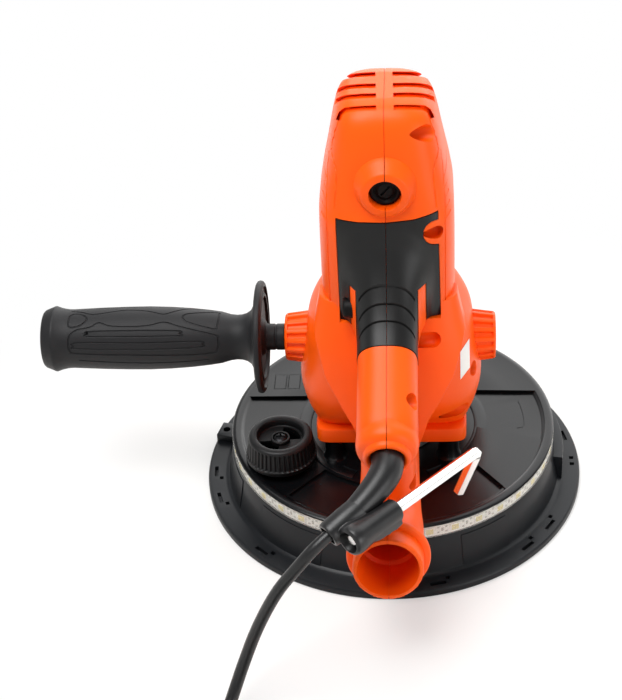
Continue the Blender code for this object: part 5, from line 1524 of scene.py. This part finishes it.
# Works that stay as the frame has them: finish, slot, nodes
WORKS = (
    ("ground_steel", "steel", ("spindle", "spindle_gear", "countershaft", "counter_gear", "armature_shaft",
                               "side_handle_stud", "spindle_bearing_lower", "spindle_bearing_upper",
                               "armature_bearing_lower", "armature_bearing_upper")),
    ("sheet_stack", "steel", ("armature_core", "stator_core")),
    ("copper_bars", "copper", ("commutator",)),
    ("wound_copper", "copper", ("field_coil_left", "field_coil_right")),
    ("filled_nylon", "black_plastic", ("cooling_fan", "power_switch")),
    ("cast_alloy", "alloy", ("gear_case_cover",)),
    ("soft_elastomer", "cord_rubber", ("bearing_sleeve",)),
    ("turned_brass", "brass", ("brush_holder_rear", "brush_holder_front")),
    ("pressed_carbon", "carbon", ("carbon_brush_rear", "carbon_brush_front")),
)


def hull_outline(first, second):
    """Outline around the circle on the motor's axis and the one on the countershaft."""
    lean = math.degrees(math.acos((first - second) / COUNTER_X))
    far = [(COUNTER_X + x, y) for x, y in arc(second, -lean, lean, 32)]
    return arc(first, lean, 360.0 - lean, 32) + far


class SANDER_OT_works(bpy.types.Operator):
    """Models the gear case and gives the inner works their finishes"""
    bl_idname = "sander.works"
    bl_label = "Gear case and inner works"

    def execute(self, context):
        profile = ((0.0, 62.0), (31.2, 62.0), (31.2, 50.4), (29.0, 50.4), (29.0, 37.0), (28.4, 36.3),
                   (0.0, 36.3))
        case = turned("gear_housing", profile, 96)
        carve(case, [prism("lower", hull_outline(22.0, 12.0), 60.0, 77.0),
                     prism("upper", hull_outline(22.4, 22.4), 75.0, 89.0)], "UNION")
        rooms = ((0.0, 61.4, 77.7, 19.6), (COUNTER_X, 61.8, 78.4, 9.3), (COUNTER_X, 77.5, 92.0, 20.3),
                 (0.0, 77.2, 93.0, 12.0), (0.0, 40.8, 64.0, 14.8), (0.0, 30.0, 45.0, 8.0),
                 (COUNTER_X, 56.4, 64.0, 4.5))
        for x, low, high, radius in rooms:
            carve(case, [rod("room", (x, 0.0, low), (x, 0.0, high), radius, 64)])
        dress(case, SHELL_BODY, "cast_alloy", ("gear_case",))
        for material, slot, nodes in WORKS:
            for node in nodes:
                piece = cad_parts[node]
                piece.data.materials.clear()
                piece.data.materials.append(finish(material))
        return {"FINISHED"}


# Stage

# Soft lamps: name, place, aim, size, power
SOFTBOXES = (
    ("key_light", (-330.0, -300.0, 1320.0), (0.0, -30.0, 80.0), 800.0, 18.0),
    ("back_light", (330.0, 1020.0, 850.0), (0.0, 0.0, 80.0), 1900.0, 25.0),
    ("side_light", (950.0, -800.0, 420.0), (0.0, -30.0, 100.0), 700.0, 4.5),
)
# Size of the floor; its paper turns from pale to the surround's white between these distances
FLOOR_SIZE, PAPER_NEAR, PAPER_FAR = 12000.0, 115.0, 300.0
WHITE = (1.0, 1.0, 1.0, 1.0)


def softbox(name, place, aim, size, power):
    """A large soft lamp that points at a place."""
    deselect()
    bpy.ops.object.light_add(type="AREA", location=Vector(place) * MM)
    lamp = named(name)
    lamp.data.shape = "SQUARE"
    lamp.data.size = size * MM
    lamp.data.energy = power
    lamp.rotation_euler = (Vector(aim) - Vector(place)).to_track_quat("-Z", "Y").to_euler()
    return lamp


class SANDER_OT_stage(bpy.types.Operator):
    """Sets the floor, the soft light, the white surround and the photograph's camera"""
    bl_idname = "sander.stage"
    bl_label = "Stage and camera"

    def execute(self, context):
        scene = context.scene
        scene.view_settings.view_transform = "Standard"
        deselect()
        bpy.ops.mesh.primitive_grid_add(x_subdivisions=4, y_subdivisions=4, size=FLOOR_SIZE * MM)
        floor = named("stage_floor")
        floor.data.materials.append(self.paper(scene.sander_colours.floor))
        lamps = [softbox(*row) for row in SOFTBOXES]
        self.surround(scene)
        self.camera(scene)
        return {"FINISHED"}

    def paper(self, colour):
        """Backdrop paper: pale near the object, and the surround's white further off, so no horizon shows."""
        material, tree, shader = fresh("backdrop_paper")
        shader.inputs["Base Color"].default_value = colour
        shader.inputs["Roughness"].default_value = 0.85
        shader.inputs["Specular IOR Level"].default_value = 0.2
        place = add(tree, "TexCoord").outputs["Object"]
        far = add(tree, "VectorMath", {"Vector": place}, operation="LENGTH")
        share = add(tree, "MapRange", {"Value": far.outputs["Value"]},
                    {"From Min": PAPER_NEAR * MM, "From Max": PAPER_FAR * MM, "To Min": 0.45},
                    interpolation_type="SMOOTHSTEP")
        seen = add(tree, "LightPath").outputs["Is Camera Ray"]
        amount = add(tree, "Math", {"Value": share.outputs["Result"], "Value_001": seen},
                     operation="MULTIPLY")
        white = add(tree, "Emission", values={"Color": WHITE, "Strength": 1.0})
        mixed = add(tree, "MixShader", {"Fac": amount.outputs["Value"], "Shader": shader.outputs["BSDF"],
                                        "Shader_001": white.outputs["Emission"]})
        tree.links.new(mixed.outputs["Shader"], tree.nodes["Material Output"].inputs["Surface"])
        return material

    def surround(self, scene):
        """A white room for what is seen in it, with a dimmer ceiling, and dimmer where it only lights."""
        world = bpy.data.worlds.new("white_room")
        world.use_nodes = True
        tree = world.node_tree
        rays = add(tree, "LightPath").outputs
        seen = add(tree, "Math", {"Value": rays["Is Camera Ray"], "Value_001": rays["Is Glossy Ray"]},
                   operation="MAXIMUM")
        seen = add(tree, "Math", {"Value": seen.outputs["Value"], "Value_001": rays["Is Transmission Ray"]},
                   operation="MAXIMUM")
        above = add(tree, "SeparateXYZ", {"Vector": add(tree, "TexCoord").outputs["Generated"]}).outputs["Z"]
        ceiling = add(tree, "MapRange", {"Value": above},
                      {"From Min": 0.2, "From Max": 0.55, "To Min": 1.0, "To Max": 0.25},
                      interpolation_type="SMOOTHSTEP")
        bright = add(tree, "Math", {"Value": ceiling.outputs["Result"], "Value_001": rays["Is Camera Ray"]},
                     operation="MAXIMUM")
        strength = add(tree, "MapRange", {"Value": seen.outputs["Value"], "To Max": bright.outputs["Value"]},
                       {"To Min": 0.22})
        ground = tree.nodes["Background"]
        ground.inputs["Color"].default_value = WHITE
        tree.links.new(strength.outputs["Result"], ground.inputs["Strength"])
        scene.world = world

    def camera(self, scene):
        """The photograph's camera."""
        across = Vector((math.cos(VIEW_TURN), math.sin(VIEW_TURN), 0.0))
        ahead = Vector((-math.sin(VIEW_TURN), math.cos(VIEW_TURN), 0.0))
        up = Vector((0.0, 0.0, 1.0))
        forward = ahead * math.cos(VIEW_RISE) - up * math.sin(VIEW_RISE)
        raised = ahead * math.sin(VIEW_RISE) + up * math.cos(VIEW_RISE)
        place = -forward * VIEW_DISTANCE - across * VIEW_SHIFT_X - raised * VIEW_SHIFT_Y
        right = across * math.cos(VIEW_ROLL) - raised * math.sin(VIEW_ROLL)
        top = across * math.sin(VIEW_ROLL) + raised * math.cos(VIEW_ROLL)
        deselect()
        bpy.ops.object.camera_add()
        camera = named("photo_camera")
        camera.matrix_world = (Matrix.Translation(place * MM)
                               @ Matrix((right, top, -forward)).transposed().to_4x4())
        camera.data.sensor_width = 36.0
        camera.data.lens = VIEW_LENS / PICTURE_HIGH * camera.data.sensor_width
        camera.data.shift_x = (PICTURE_WIDE / 2 - PICTURE_CENTRE) / PICTURE_HIGH
        scene.camera = camera
        return camera


# Panel

PIECES = ("housing", "grips", "side_handle", "shroud", "light_strip", "knob", "pad", "cord", "key_set",
          "switch", "fasteners", "works", "stage")


class VIEW3D_PT_sander(bpy.types.Panel):
    """Lists the sander's pieces, sizes and colours"""
    bl_idname = "VIEW3D_PT_sander"
    bl_label = "Plaster sander"
    bl_space_type = "VIEW_3D"
    bl_region_type = "UI"
    bl_category = "Sander"

    def draw(self, context):
        column = self.layout.column(align=True)
        for piece in PIECES:
            column.operator("sander." + piece)
        for group in (context.scene.sander_sizes, context.scene.sander_colours):
            box = self.layout.box()
            for name in group.__annotations__:
                box.prop(group, name)


CLASSES = (
    SanderSizes, SanderColours, SANDER_OT_housing, SANDER_OT_grips, SANDER_OT_side_handle, SANDER_OT_shroud,
    SANDER_OT_light_strip, SANDER_OT_knob, SANDER_OT_pad, SANDER_OT_cord, SANDER_OT_key_set, SANDER_OT_switch,
    SANDER_OT_fasteners, SANDER_OT_works, SANDER_OT_stage, VIEW3D_PT_sander,
)


def register():
    """Adds the classes and the scene's properties to Blender."""
    for item in CLASSES:
        bpy.utils.register_class(item)
    bpy.types.Scene.sander_sizes = bpy.props.PointerProperty(type=SanderSizes)
    bpy.types.Scene.sander_colours = bpy.props.PointerProperty(type=SanderColours)


def unregister():
    """Takes them out again."""
    del bpy.types.Scene.sander_colours
    del bpy.types.Scene.sander_sizes
    for item in reversed(CLASSES):
        bpy.utils.unregister_class(item)


def main():
    """Builds every piece and the stage."""
    register()
    for piece in PIECES:
        getattr(bpy.ops.sander, piece)()


if __name__ == "__main__":
    main()
